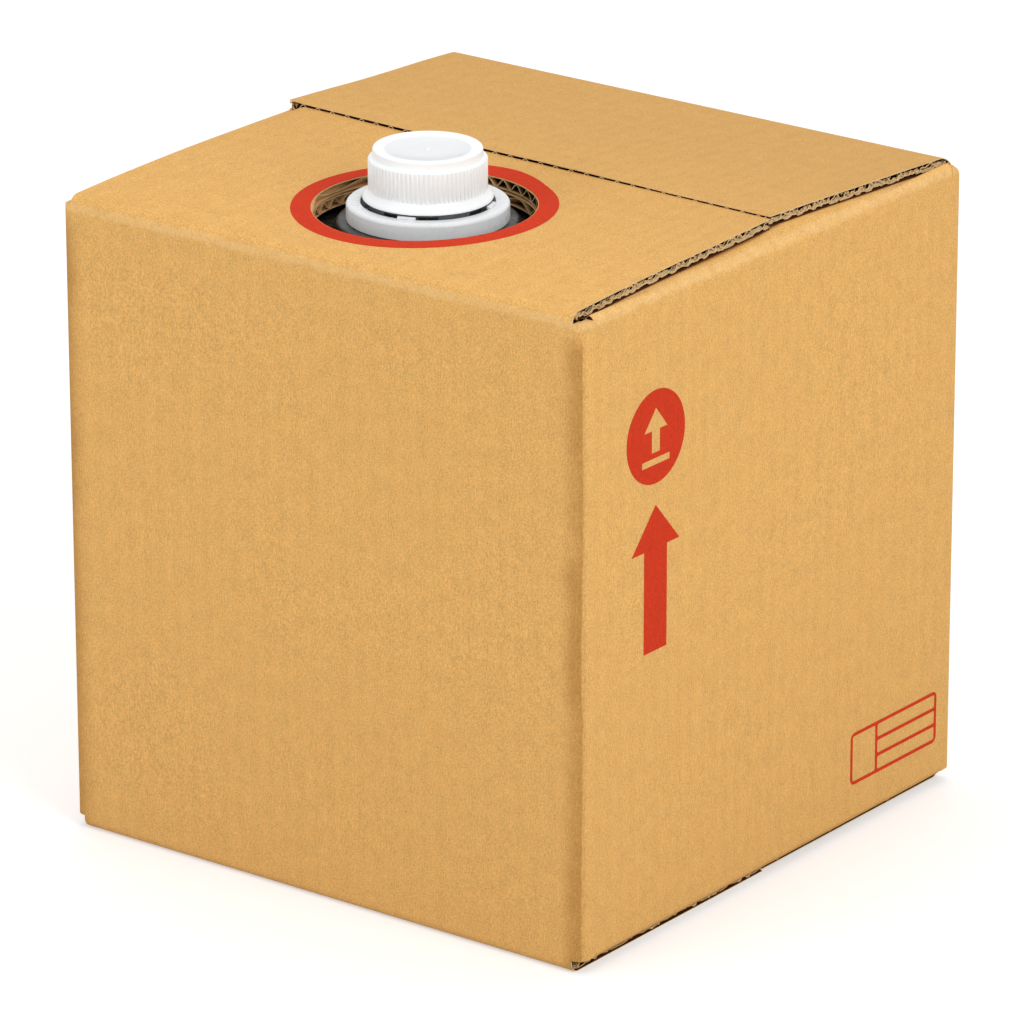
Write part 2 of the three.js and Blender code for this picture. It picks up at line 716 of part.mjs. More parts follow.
addPiece('carton_body', cartonBody(), kraft);
addPiece('top_flap_front', frontTopFlap(), kraft);
addPiece('top_flap_back', backTopFlap(), kraft);
addPiece('inner_container', innerContainer(), darkFilm);
addPiece('spout', spout(), whitePlastic);
addPiece('neck_collar', neckCollar(), whitePlastic);
addPiece('tamper_band', tamperBand(), whitePlastic);
addPiece('screw_cap', screwCap(), whitePlastic);
addPiece('cap_seal', capSeal(), liner);
addPiece('print_ring', printRing(), redInk);
addPiece('print_disc', printDisc(), redInk);
addPiece('print_arrow', printArrow(), redInk);
addPiece('print_stamp', printStamp(), redInk);

export default carton;
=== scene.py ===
"""Looks of a corrugated carton that holds a collapsible liquid container with a screw cap."""

import logging
import math
from bisect import bisect_left
from collections.abc import Callable, Iterator, Sequence
from contextlib import contextmanager
from dataclasses import dataclass, field
from enum import Enum

import bmesh
import bpy
from mathutils import Matrix, Vector, noise


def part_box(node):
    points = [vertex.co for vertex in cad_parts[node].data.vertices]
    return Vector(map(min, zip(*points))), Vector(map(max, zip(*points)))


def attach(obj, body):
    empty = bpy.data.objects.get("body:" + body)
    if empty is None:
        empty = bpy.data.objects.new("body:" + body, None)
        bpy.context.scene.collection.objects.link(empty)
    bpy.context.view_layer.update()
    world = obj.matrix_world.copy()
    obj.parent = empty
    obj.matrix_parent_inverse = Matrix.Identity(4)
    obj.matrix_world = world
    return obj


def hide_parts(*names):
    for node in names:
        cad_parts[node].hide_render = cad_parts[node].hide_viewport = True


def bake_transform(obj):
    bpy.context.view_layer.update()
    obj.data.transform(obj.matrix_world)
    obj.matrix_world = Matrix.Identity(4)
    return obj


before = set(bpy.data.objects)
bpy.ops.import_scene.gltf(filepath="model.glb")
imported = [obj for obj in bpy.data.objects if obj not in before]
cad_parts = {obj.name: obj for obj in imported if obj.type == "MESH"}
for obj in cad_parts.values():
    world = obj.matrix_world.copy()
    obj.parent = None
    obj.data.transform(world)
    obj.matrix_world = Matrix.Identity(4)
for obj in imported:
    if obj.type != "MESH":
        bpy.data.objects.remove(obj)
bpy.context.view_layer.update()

LOG = logging.getLogger("carton")
MM = 0.001
UP = Vector((0, 0, 1))

# Places that the pieces share, from the frame
WALLS_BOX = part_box("carton_body")
WALL_TOP = WALLS_BOX[1].z
COLLAR_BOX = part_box("neck_collar")
NECK = (COLLAR_BOX[0] + COLLAR_BOX[1]) / 2
NECK.z = 0
RING_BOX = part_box("print_ring")
RING_RADIUS = (RING_BOX[1].x - RING_BOX[0].x) / 2
HOLE_Y = (RING_BOX[0].y + RING_BOX[1].y) / 2
HOLE_SETBACK = HOLE_Y - WALLS_BOX[0].y

# Sizes that several pieces share
HOLE_RADIUS = 49.3 * MM
COLLAR_BORE = 21.9 * MM
SHOULDER_HEIGHT = 7.5 * MM
INK = 0.1 * MM
COLUMN = 9 * MM  # from slice to slice over the flutes of a bent flap


class Part(Enum):
    """What an edit-mode selection is made of."""

    VERTEX = "VERT"
    EDGE = "EDGE"
    FACE = "FACE"


class Paper(Enum):
    """The material slots of a piece of board."""

    SKIN = 0
    CUT = 1
    INSIDE = 2


class Facing(Enum):
    """The side of the carton that a folded flap hangs on, as its turn about the upright axis in degrees."""

    FRONT = 0
    RIGHT = 90
    BACK = 180
    LEFT = 270


HOLE_OFFSET = {Facing.FRONT: 0.0, Facing.RIGHT: HOLE_Y, Facing.LEFT: -HOLE_Y}


def clear_selection() -> None:
    """Leaves edit mode and deselects every object."""
    if bpy.context.mode != "OBJECT":
        bpy.ops.object.mode_set(mode="OBJECT")
    bpy.ops.object.select_all(action="DESELECT")


def take(piece: bpy.types.Object) -> None:
    """Makes one object the only selected one, and the active one.

    Args:
        piece: The object to select.
    """
    clear_selection()
    piece.select_set(True)
    bpy.context.view_layer.objects.active = piece


@contextmanager
def editing(piece: bpy.types.Object) -> Iterator[None]:
    """Keeps an object in edit mode for the length of a with block.

    Args:
        piece: The mesh object to edit.

    Yields:
        Nothing.
    """
    take(piece)
    bpy.ops.object.mode_set(mode="EDIT")
    yield
    bpy.ops.object.mode_set(mode="OBJECT")


def pick(piece: bpy.types.Object, part: Part, wanted: Callable[[Vector], bool]) -> None:
    """Selects, in edit mode, only the parts whose middle is wanted.

    Args:
        piece: The object being edited.
        part: Whether vertices, edges or faces are picked.
        wanted: A test of a part's middle.
    """
    bpy.ops.mesh.select_mode(type=part.value)
    bpy.ops.mesh.select_all(action="DESELECT")
    mesh = bmesh.from_edit_mesh(piece.data)
    for vertex in mesh.verts if part is Part.VERTEX else ():
        vertex.select_set(wanted(vertex.co))
    for edge in mesh.edges if part is Part.EDGE else ():
        edge.select_set(wanted((edge.verts[0].co + edge.verts[1].co) / 2))
    for face in mesh.faces if part is Part.FACE else ():
        face.select_set(wanted(face.calc_center_median()))
    bmesh.update_edit_mesh(piece.data)


def settle(piece: bpy.types.Object, name: str) -> bpy.types.Object:
    """Writes an object's place into its mesh and gives it a name.

    Args:
        piece: The object to settle.
        name: Its new name.

    Returns:
        The same object.
    """
    take(piece)
    bpy.ops.object.transform_apply(location=True, rotation=True, scale=True)
    piece.name = name
    piece.data.name = name
    return piece


def slab(name: str, low: Sequence[float], high: Sequence[float]) -> bpy.types.Object:
    """Adds a box between two corners.

    Args:
        name: The box's name.
        low: Its lowest corner.
        high: Its highest corner.

    Returns:
        The box.
    """
    low_corner, high_corner = Vector(low), Vector(high)
    bpy.ops.mesh.primitive_cube_add(
        size=1,
        location=(low_corner + high_corner) / 2,
        scale=high_corner - low_corner,
    )
    return settle(bpy.context.object, name)


def cylinder(
    name: str,
    radius: float,
    depth: float,
    middle: Sequence[float],
    sides: int,
) -> bpy.types.Object:
    """Adds an upright cylinder.

    Args:
        name: The cylinder's name.
        radius: Its radius.
        depth: Its height.
        middle: The place of its middle.
        sides: How many sides it has.

    Returns:
        The cylinder.
    """
    bpy.ops.mesh.primitive_cylinder_add(vertices=sides, radius=radius, depth=depth, location=middle)
    return settle(bpy.context.object, name)


def modify(piece: bpy.types.Object, kind: str, **settings: object) -> None:
    """Adds a modifier, sets it and applies it.

    Args:
        piece: The object to change.
        kind: Blender's name of the modifier's kind.
        settings: The modifier's values.
    """
    take(piece)
    modifier = piece.modifiers.new(kind.lower(), kind)
    for key, value in settings.items():
        setattr(modifier, key, value)
    bpy.ops.object.modifier_apply(modifier=modifier.name)


def carve(piece: bpy.types.Object, cutter: bpy.types.Object) -> None:
    """Cuts one object out of another and throws the cutter away."""
    modify(piece, "BOOLEAN", operation="DIFFERENCE", solver="EXACT", object=cutter)
    bpy.data.objects.remove(cutter)


def fuse(piece: bpy.types.Object, added: bpy.types.Object) -> None:
    """Joins a second solid to an object as one skin and throws the second away."""
    modify(piece, "BOOLEAN", operation="UNION", solver="EXACT", object=added)
    bpy.data.objects.remove(added)


def round_edges(
    piece: bpy.types.Object,
    radius: float,
    segments: int,
    wanted: Callable[[Vector], bool],
) -> None:
    """Rounds some edges of an object.

    Args:
        piece: The object.
        radius: The size of the rounding.
        segments: How many steps the rounding has.
        wanted: A test of an edge's middle.
    """
    with editing(piece):
        pick(piece, Part.EDGE, wanted)
        bpy.ops.mesh.bevel(offset=radius, segments=segments, affect="EDGES")


def gather(name: str, pieces: Sequence[bpy.types.Object]) -> bpy.types.Object:
    """Puts several meshes into one object.

    Args:
        name: The object's name.
        pieces: The objects to put together.

    Returns:
        The one object.
    """
    take(pieces[0])
    for piece in pieces:
        piece.select_set(True)
    bpy.ops.object.join()
    return settle(bpy.context.object, name)


def smooth(piece: bpy.types.Object, degrees: float) -> None:
    """Shades an object smoothly, apart from edges sharper than an angle."""
    take(piece)
    bpy.ops.object.shade_smooth_by_angle(angle=math.radians(degrees))


def spin(degrees: float) -> Matrix:
    """Gives a turn about the upright axis."""
    return Matrix.Rotation(math.radians(degrees), 3, "Z")


def shift(piece: bpy.types.Object, move: Callable[[Vector], Vector]) -> None:
    """Moves each point of a mesh to where a rule puts it.

    Args:
        piece: The mesh object.
        move: A rule that takes a point and gives its new place.
    """
    for vertex in piece.data.vertices:
        vertex.co = move(vertex.co.copy())
    piece.data.update()


def pick_open_edges() -> None:
    """Selects, in edit mode, only the edges that bound a hole in the mesh."""
    bpy.ops.mesh.select_mode(type="EDGE")
    bpy.ops.mesh.select_all(action="DESELECT")
    bpy.ops.mesh.select_non_manifold()


def split_many_sided() -> None:
    """Splits faces with more than four sides, in edit mode, so that they can bend cleanly."""
    bpy.ops.mesh.select_mode(type="FACE")
    bpy.ops.mesh.select_all(action="DESELECT")
    bpy.ops.mesh.select_face_by_sides(number=4, type="GREATER")
    bpy.ops.mesh.quads_convert_to_tris()


def slice_at(axis: int, places: Sequence[float]) -> None:
    """Cuts the mesh being edited across one axis, so that it can bend there.

    Args:
        axis: 0, 1 or 2 for X, Y or Z.
        places: Where to cut.
    """
    normal = [0.0, 0.0, 0.0]
    normal[axis] = 1.0
    for place in places:
        point = [place * share for share in normal]
        bpy.ops.mesh.select_all(action="SELECT")
        bpy.ops.mesh.bisect(plane_co=point, plane_no=normal)


def make_outward() -> None:
    """Turns all faces of the mesh being edited outwards, after its doubles are merged."""
    bpy.ops.mesh.select_all(action="SELECT")
    bpy.ops.mesh.remove_doubles(threshold=0.02 * MM)
    bpy.ops.mesh.normals_make_consistent(inside=False)


def spread(low: float, high: float, step: float) -> list[float]:
    """Gives evenly spaced places between two ends, without the ends.

    Args:
        low: The lower end.
        high: The higher end.
        step: About how far apart the places are.

    Returns:
        The places.
    """
    count = max(1, round((high - low) / step))
    return [low + (high - low) * i / count for i in range(1, count)]


def blend_in(value: float, low: float, high: float) -> float:
    """Rises smoothly from 0 at a low value to 1 at a high one."""
    share = min(1.0, max(0.0, (value - low) / (high - low)))
    return share * share * (3 - 2 * share)


def turned(
    name: str,
    profile: Sequence[tuple[float, float]],
    segments: int = 128,
    closed: bool = True,
) -> bpy.types.Object:
    """Turns a profile about the neck's axis, ring by ring, by extruding and scaling a circle.

    Args:
        name: The object's name.
        profile: Radius and height of each ring.
        segments: How many sides a ring has.
        closed: Whether the last ring joins the first.

    Returns:
        The turned object.
    """
    least = 0.01 * MM
    rings = [(max(radius, least), height) for radius, height in profile]
    radius, height = rings[0]
    bpy.ops.mesh.primitive_circle_add(
        vertices=segments,
        radius=radius,
        location=(NECK.x, NECK.y, height),
    )
    piece = settle(bpy.context.object, name)
    with editing(piece):
        bpy.ops.mesh.select_all(action="SELECT")
        for next_radius, next_height in rings[1:]:
            bpy.ops.mesh.extrude_region_move(
                TRANSFORM_OT_translate={"value": (0, 0, next_height - height)},
            )
            scale = next_radius / radius
            bpy.ops.transform.resize(
                value=(scale, scale, 1),
                center_override=(NECK.x, NECK.y, next_height),
            )
            radius, height = next_radius, next_height
        if closed:
            pick_open_edges()
            bpy.ops.mesh.bridge_edge_loops()
        make_outward()
    return piece


def rounded(
    corner: tuple[float, float],
    radius: float,
    start: float,
    end: float,
    steps: int = 4,
) -> list[tuple[float, float]]:
    """Gives the points of a small arc in a turned profile.

    Args:
        corner: The arc's centre, as radius and height.
        radius: The arc's own radius.
        start: The first angle in degrees, 0 pointing outwards and 90 up.
        end: The last angle in degrees.
        steps: How many steps the arc has.

    Returns:
        The arc's points.
    """
    turns = [math.radians(start + (end - start) * i / steps) for i in range(steps + 1)]
    return [(corner[0] + radius * math.cos(t), corner[1] + radius * math.sin(t)) for t in turns]


def drawn(name: str, points: Sequence[tuple[float, float]]) -> bpy.types.Object:
    """Draws a flat outline point by point in the XY plane and fills it.

    Args:
        name: The object's name.
        points: The outline's corners in order.

    Returns:
        The flat object, with one face.
    """
    bpy.ops.mesh.primitive_plane_add(size=1)
    piece = settle(bpy.context.object, name)
    with editing(piece):
        pick(piece, Part.VERTEX, lambda place: place.x > 0 or place.y > 0)
        bpy.ops.mesh.delete(type="VERT")
        bpy.ops.mesh.select_all(action="SELECT")
        place = Vector((-0.5, -0.5))
        first = Vector(points[0])
        bpy.ops.transform.translate(value=(*(first - place), 0))
        place = first
        for point in points[1:]:
            step = Vector(point) - place
            bpy.ops.mesh.extrude_region_move(TRANSFORM_OT_translate={"value": (*step, 0)})
            place = Vector(point)
        bpy.ops.mesh.select_all(action="SELECT")
        bpy.ops.mesh.edge_face_add()
        bpy.ops.mesh.normals_make_consistent(inside=False)
    return piece


def raise_up(piece: bpy.types.Object, height: float) -> None:
    """Extrudes a flat object upwards into a solid.

    Args:
        piece: The flat object.
        height: How far it is extruded.
    """
    with editing(piece):
        bpy.ops.mesh.select_all(action="SELECT")
        bpy.ops.mesh.extrude_region_move(TRANSFORM_OT_translate={"value": (0, 0, height)})
        make_outward()


class Graph:
    """A node tree with short calls to add and link nodes."""

    def __init__(self, tree: bpy.types.NodeTree) -> None:
        """Takes a node tree."""
        self.tree = tree

    def add(self, kind: str, *sources: object, **settings: object) -> bpy.types.Node:
        """Adds a node.

        Args:
            kind: The node's type, without the words ShaderNode.
            sources: A socket or a value for each input in order, None to leave one alone.
            settings: The node's own properties.

        Returns:
            The node.
        """
        node = self.tree.nodes.new("ShaderNode" + kind)
        for key, value in settings.items():
            setattr(node, key, value)
        for socket, source in zip(node.inputs, sources):
            self.feed(socket, source)
        return node

    def feed(self, socket: bpy.types.NodeSocket, source: object) -> None:
        """Links a socket to another, or sets its value, or leaves it alone for None.

        Args:
            socket: The input.
            source: A socket, a value or None.
        """
        if isinstance(source, bpy.types.NodeSocket):
            self.tree.links.new(source, socket)
        elif source is not None:
            socket.default_value = source

    def radius(self, place: object, centre: Sequence[float]) -> bpy.types.NodeSocket:
        """Gives the distance of a place from an upright axis.

        Args:
            place: The socket that carries the place.
            centre: X and Y of the axis.

        Returns:
            The distance in metres.
        """
        level = self.add("VectorMath", place, (1, 1, 0), operation="MULTIPLY").outputs[0]
        axis = (centre[0], centre[1], 0)
        return self.add("VectorMath", level, axis, operation="DISTANCE").outputs["Value"]

    def math(self, operation: str, *sources: object) -> bpy.types.NodeSocket:
        """Adds a Math node and gives its output."""
        return self.add("Math", *sources, operation=operation).outputs[0]

    def between(self, value: object, low: float, high: float, out: tuple = (0.0, 1.0)) -> object:
        """Adds a smooth Map Range node.

        Args:
            value: The socket to map.
            low: The value that maps to the first output.
            high: The value that maps to the second output.
            out: The two outputs.

        Returns:
            The mapped output.
        """
        node = self.add("MapRange", value, low, high, *out, interpolation_type="SMOOTHSTEP")
        return node.outputs[0]

    def seen(self) -> bpy.types.NodeSocket:
        """Gives 1 for rays from the camera, through clear matter and off gloss, and 0 for the rest.

        Returns:
            The output that carries it.
        """
        rays = self.add("LightPath").outputs
        seen = self.math("MAXIMUM", rays["Is Camera Ray"], rays["Is Transmission Ray"])
        return self.math("MAXIMUM", seen, rays["Is Glossy Ray"])

    def noise(self, place: object, size: float, detail: float = 3.0, rough: float = 0.5) -> object:
        """Adds a Noise Texture whose spots are about a size in metres, and gives its value."""
        node = self.add("TexNoise", place, None, 1 / size, detail, rough)
        return node.outputs["Fac"]

    def mix(self, share: object, first: object, second: object) -> bpy.types.NodeSocket:
        """Adds a colour Mix node and gives its output.

        Args:
            share: How much of the second colour shows.
            first: The colour at a share of 0.
            second: The colour at a share of 1.

        Returns:
            The mixed colour.
        """
        node = self.add("Mix", data_type="RGBA")
        for socket, source in zip((node.inputs[0], node.inputs[6], node.inputs[7]), (share, first, second)):
            self.feed(socket, source)
        return node.outputs[2]


def paint(red: int, green: int, blue: int) -> tuple[float, float, float, float]:
    """Turns a colour as seen on a screen, 0 to 255, into Blender's linear colour.

    Args:
        red: The red channel.
        green: The green channel.
        blue: The blue channel.

    Returns:
        The linear colour, with an alpha of 1.
    """
    def linear(value: int) -> float:
        """Gives one channel's linear value."""
        share = value / 255
        return share / 12.92 if share <= 0.04045 else ((share + 0.055) / 1.055) ** 2.4
    return linear(red), linear(green), linear(blue), 1.0


def tinted(colour: Sequence[float], share: float) -> tuple[float, ...]:
    """Gives a linear colour times a share, up to white."""
    return (*(min(1.0, channel * share) for channel in colour[:3]), 1.0)


def new_group(name: str, inputs: dict[str, float], outputs: Sequence[str]) -> Graph:
    """Starts a shader node group with named sockets.

    Args:
        name: The group's name.
        inputs: Name and first value of each input. Place is a vector.
        outputs: Name of each output, all plain values.

    Returns:
        The group's graph, with its input and output nodes added.
    """
    tree = bpy.data.node_groups.new(name, "ShaderNodeTree")
    for label, value in inputs.items():
        kind = "NodeSocketVector" if label == "Place" else "NodeSocketFloat"
        socket = tree.interface.new_socket(name=label, in_out="INPUT", socket_type=kind)
        if label != "Place":
            socket.default_value = value
    for label in outputs:
        tree.interface.new_socket(name=label, in_out="OUTPUT", socket_type="NodeSocketFloat")
    tree.nodes.new("NodeGroupInput")
    tree.nodes.new("NodeGroupOutput")
    return Graph(tree)


class Effects:
    """The shader node groups that several finishes share."""

    def __init__(self) -> None:
        """Builds each group once."""
        self.fibres = self.build_fibres()
        self.washboard = self.build_washboard()
        self.scuffs_and_highlight = self.build_crease_wear_and_highlight()

    def build_fibres(self) -> bpy.types.NodeTree:
        """Builds the mottle of pressed paper fibres.

        Returns:
            A group that takes Place and Size, and gives Tone and Height about 0.5.
        """
        graph = new_group("Paper fibres", {"Place": 0, "Size": 0.0012}, ("Tone", "Height"))
        inlet, outlet = graph.tree.nodes
        scale = graph.math("DIVIDE", 1.0, inlet.outputs["Size"])
        place = graph.add("VectorMath", inlet.outputs["Place"], operation="SCALE")
        graph.feed(place.inputs["Scale"], scale)
        fine = graph.add("TexNoise", place.outputs[0], None, 1.0, 4.0, 0.62).outputs["Fac"]
        stretched = graph.add("Mapping", place.outputs[0], None, None, (1.6, 1.6, 0.32)).outputs[0]
        strands = graph.add("TexNoise", stretched, None, 0.8, 2.0, 0.5).outputs["Fac"]
        clouds = graph.add("TexNoise", place.outputs[0], None, 0.09, 3.0, 0.5).outputs["Fac"]
        grain = graph.add("Mix", 0.3, None, fine, strands).outputs[0]
        tone = graph.add("Mix", 0.12, None, grain, clouds).outputs[0]
        graph.feed(outlet.inputs["Tone"], tone)
        graph.feed(outlet.inputs["Height"], grain)
        return graph.tree

    def build_washboard(self) -> bpy.types.NodeTree:
        """Builds the faint bands that the waved sheet prints through a board's face.

        Returns:
            A group that takes Across, a distance over the flutes, and Pitch, and gives Band from 0 to 1.
        """
        graph = new_group("Flute bands", {"Place": 0, "Across": 0, "Pitch": 0.0086}, ("Band",))
        inlet, outlet = graph.tree.nodes
        drift = graph.noise(inlet.outputs["Place"], 40 * MM, 1.0)
        phase = graph.math("DIVIDE", inlet.outputs["Across"], inlet.outputs["Pitch"])
        turn = graph.math("MULTIPLY_ADD", phase, 2 * math.pi, drift)
        wave = graph.math("SINE", turn)
        ribs = graph.math("SINE", graph.math("MULTIPLY", turn, 6.0))
        band = graph.math("MULTIPLY_ADD", wave, 0.32, graph.math("MULTIPLY_ADD", ribs, 0.18, 0.5))
        graph.feed(outlet.inputs["Band"], band)
        return graph.tree

    def build_crease_wear_and_highlight(self) -> bpy.types.NodeTree:
        """Builds a pale line that keeps to one level of a value: partly worn crease, partly painted
        highlight.

        Returns:
            A group that takes Place, Level, Centre and Width, and gives Mask from 0 to 1.
        """
        labels = {"Place": 0, "Level": 0, "Centre": 0, "Width": 0.003}
        graph = new_group("Crease wear", labels, ("Mask",))
        inlet, outlet = graph.tree.nodes
        wander = graph.noise(inlet.outputs["Place"], 14 * MM, 2.0)
        offset = graph.math("SUBTRACT", wander, 0.5)
        level = graph.math("MULTIPLY_ADD", offset, 2.6 * MM, inlet.outputs["Level"])
        away = graph.math("ABSOLUTE", graph.math("SUBTRACT", level, inlet.outputs["Centre"]))
        share = graph.math("DIVIDE", away, inlet.outputs["Width"])
        line = graph.between(share, 1.0, 0.2)
        broken = graph.between(graph.noise(inlet.outputs["Place"], 5 * MM, 3.0), 0.3, 0.6, (0.45, 1.0))
        graph.feed(outlet.inputs["Mask"], graph.math("MULTIPLY", line, broken))
        return graph.tree

    def place(self, graph: Graph, tree: bpy.types.NodeTree, **values: object) -> bpy.types.Node:
        """Puts one of the groups into a material.

        Args:
            graph: The material's graph.
            tree: The group to place.
            values: A socket or a value for each named input.

        Returns:
            The group's node.
        """
        node = graph.add("Group", node_tree=tree)
        for label, value in values.items():
            graph.feed(node.inputs[label], value)
        return node


@dataclass(frozen=True)
class Finish:
    """What all finishes share: a name, a colour and plain shader values."""

    name: str
    colour: tuple[float, float, float, float]
    roughness: float = 0.5
    specular: float = 0.5

    def start(self) -> tuple[bpy.types.Material, Graph, bpy.types.Node, bpy.types.NodeSocket]:
        """Starts a material.

        Returns:
            The material, its graph, its Principled BSDF and the Object coordinates.
        """
        material = bpy.data.materials.new(self.name)
        material.use_nodes = True
        graph = Graph(material.node_tree)
        shader = material.node_tree.nodes["Principled BSDF"]
        shader.inputs["Roughness"].default_value = self.roughness
        shader.inputs["Specular IOR Level"].default_value = self.specular
        place = graph.add("TexCoord").outputs["Object"]
        return material, graph, shader, place

    def bump(self, graph: Graph, shader: bpy.types.Node, height: object, depth: float) -> None:
        """Feeds a height into the shader's normal.

        Args:
            graph: The material's graph.
            shader: The Principled BSDF.
            height: The height's socket.
            depth: How far a height of 1 stands out, in metres.
        """
        node = graph.add("Bump")
        node.inputs["Strength"].default_value = 1.0
        node.inputs["Distance"].default_value = depth
        graph.feed(node.inputs["Height"], height)
        graph.feed(shader.inputs["Normal"], node.outputs["Normal"])


@dataclass(frozen=True)
class KraftFinish(Finish):
    """Unbleached board with fibre mottle and flute bands; paler creases, partly worn and partly painted
    highlight; painted shade towards the back of the flaps, the foot of the walls and beside the upright
    corners.
    """

    crease_level: float = WALL_TOP
    by_wall: bool = False
    # Painted shade in the crease beside the upright corners: where it starts and ends, and its colours.
    corner_shade_start: float = 127 * MM
    corner_shade_end: float = 140.9 * MM
    corner_shade_colours: tuple[tuple[float, ...], ...] = (paint(158, 110, 50), paint(204, 153, 84))
    worn_highlight_colour: tuple[float, ...] = paint(250, 214, 156)

    def build(self, effects: Effects) -> bpy.types.Material:
        """Builds the material.

        Args:
            effects: The shared node groups.

        Returns:
            The material.
        """
        material, graph, shader, place = self.start()
        axes = graph.add("SeparateXYZ", place)
        across = axes.outputs[0]
        if self.by_wall:
            facing = graph.add("SeparateXYZ", graph.add("NewGeometry").outputs["Normal"]).outputs[0]
            sideways = graph.between(graph.math("ABSOLUTE", facing), 0.45, 0.55)
            across = graph.add("Mix", sideways, None, axes.outputs[0], axes.outputs[1]).outputs[0]
        fibres = effects.place(graph, effects.fibres, Place=place, Size=0.8 * MM)
        bands = effects.place(graph, effects.washboard, Place=place, Across=across, Pitch=BOARD.pitch)
        wear_and_highlight = effects.place(
            graph,
            effects.scuffs_and_highlight,
            Place=place,
            Level=axes.outputs[2],
            Centre=self.crease_level,
            Width=3.2 * MM,
        )
        dark, light = tinted(self.colour, 0.62), tinted(self.colour, 1.34)
        tone = graph.between(fibres.outputs["Tone"], 0.2, 0.8)
        banded = graph.math("MULTIPLY_ADD", graph.math("SUBTRACT", bands.outputs["Band"], 0.5), 0.06, tone)
        colour = graph.mix(banded, dark, light)
        specks = graph.between(graph.noise(place, 0.9 * MM, 1.0), 0.72, 0.8, (0.0, 0.35))
        colour = graph.mix(specks, colour, tinted(self.colour, 0.4))
        # Pale crease line: partly worn paper, partly painted highlight.
        colour = graph.mix(graph.math("MULTIPLY", wear_and_highlight.outputs["Mask"], 0.3), colour, self.worn_highlight_colour)
        # Painted shade: the flaps darken towards the back, the walls towards their foot.
        shade = graph.between(axes.outputs[1], -140 * MM, 110 * MM, (0.0, 0.42))
        if self.by_wall:
            shade = graph.between(axes.outputs[2], 0, 200 * MM, (0.12, 0.0))
        colour = graph.mix(shade, colour, dark)
        # Painted shade in the crease beside the upright corners.
        if self.by_wall:
            corner_shaded_colour = graph.mix(tone, *self.corner_shade_colours)
            colour = graph.mix(self.paint_corner_shade(graph, place, axes), colour, corner_shaded_colour)
        graph.feed(shader.inputs["Base Color"], colour)
        height = graph.math("MULTIPLY_ADD", bands.outputs["Band"], 0.5, fibres.outputs["Height"])
        self.bump(graph, shader, height, 0.16 * MM)
        return material

    def paint_corner_shade(self, graph: Graph, place: object, axes: bpy.types.Node) -> object:
        """Paints shade on the strip up to the upright corners, in the crease of the rounded corner.

        Args:
            graph: The material's graph.
            place: The Object coordinates.
            axes: The node that splits them.

        Returns:
            How far the colour goes to the painted corner shade.
        """
        wander = graph.math("SUBTRACT", graph.noise(place, 22 * MM, 2.0), 0.5)
        away = graph.math("ABSOLUTE", axes.outputs[0])
        reach = graph.math("MULTIPLY_ADD", wander, 8 * MM, away)
        rise = graph.math("POWER", graph.between(reach, self.corner_shade_start, self.corner_shade_end + 1.6 * MM), 1.5)
        end = graph.math("MULTIPLY_ADD", wander, 1.2 * MM, away)
        fall = graph.between(end, self.corner_shade_end, self.corner_shade_end + 0.7 * MM, (1.0, 0.22))
        last = graph.between(away, self.corner_shade_end + 1.0 * MM, self.corner_shade_end + 1.3 * MM, (1.0, 0.0))
        below = graph.between(axes.outputs[2], self.crease_level - 14 * MM, self.crease_level, (1.0, 0.0))
        band = graph.math("MULTIPLY", graph.math("MULTIPLY", rise, fall), last)
        return graph.math("MULTIPLY", band, below)


@dataclass(frozen=True)
class WaveFinish(Finish):
    """The rougher paper of the waved sheet and of cut edges, paler where light falls in at the hole."""

    rim: bool = False
    rim_offset: float = -4 * MM
    rim_colour: tuple[float, ...] = paint(236, 190, 134)

    def build(self, effects: Effects) -> bpy.types.Material:
        """Builds the material.

        Args:
            effects: The shared node groups.

        Returns:
            The material.
        """
        material, graph, shader, place = self.start()
        fibres = effects.place(graph, effects.fibres, Place=place, Size=0.8 * MM)
        tone = graph.between(fibres.outputs["Tone"], 0.2, 0.8)
        colour = graph.mix(tone, tinted(self.colour, 0.5), self.colour)
        if self.rim:
            away = graph.radius(place, (self.rim_offset, HOLE_Y))
            near = graph.between(away, HOLE_RADIUS + 0.5 * MM, HOLE_RADIUS + 4 * MM, (0.95, 0.0))
            colour = graph.mix(near, colour, self.rim_colour)
        graph.feed(shader.inputs["Base Color"], colour)
        self.bump(graph, shader, fibres.outputs["Height"], 0.3 * MM)
        return material


@dataclass(frozen=True)
class InkFinish(Finish):
    """Flat printing ink that lets the board's fibres show through."""

    thin_colour: tuple[float, ...] = paint(222, 128, 78)

    def build(self, effects: Effects) -> bpy.types.Material:
        """Builds the material.

        Args:
            effects: The shared node groups.

        Returns:
            The material.
        """
        material, graph, shader, place = self.start()
        fibres = effects.place(graph, effects.fibres, Place=place, Size=1.0 * MM)
        tone = graph.between(fibres.outputs["Tone"], 0.25, 0.75)
        colour = graph.mix(tone, tinted(self.colour, 0.8), tinted(self.colour, 1.15))
        thin = graph.between(graph.noise(place, 1.1 * MM, 4.0, 0.7), 0.66, 0.76, (0.0, 0.3))
        colour = graph.mix(thin, colour, self.thin_colour)
        graph.feed(shader.inputs["Base Color"], colour)
        self.bump(graph, shader, fibres.outputs["Height"], 0.1 * MM)
        return material


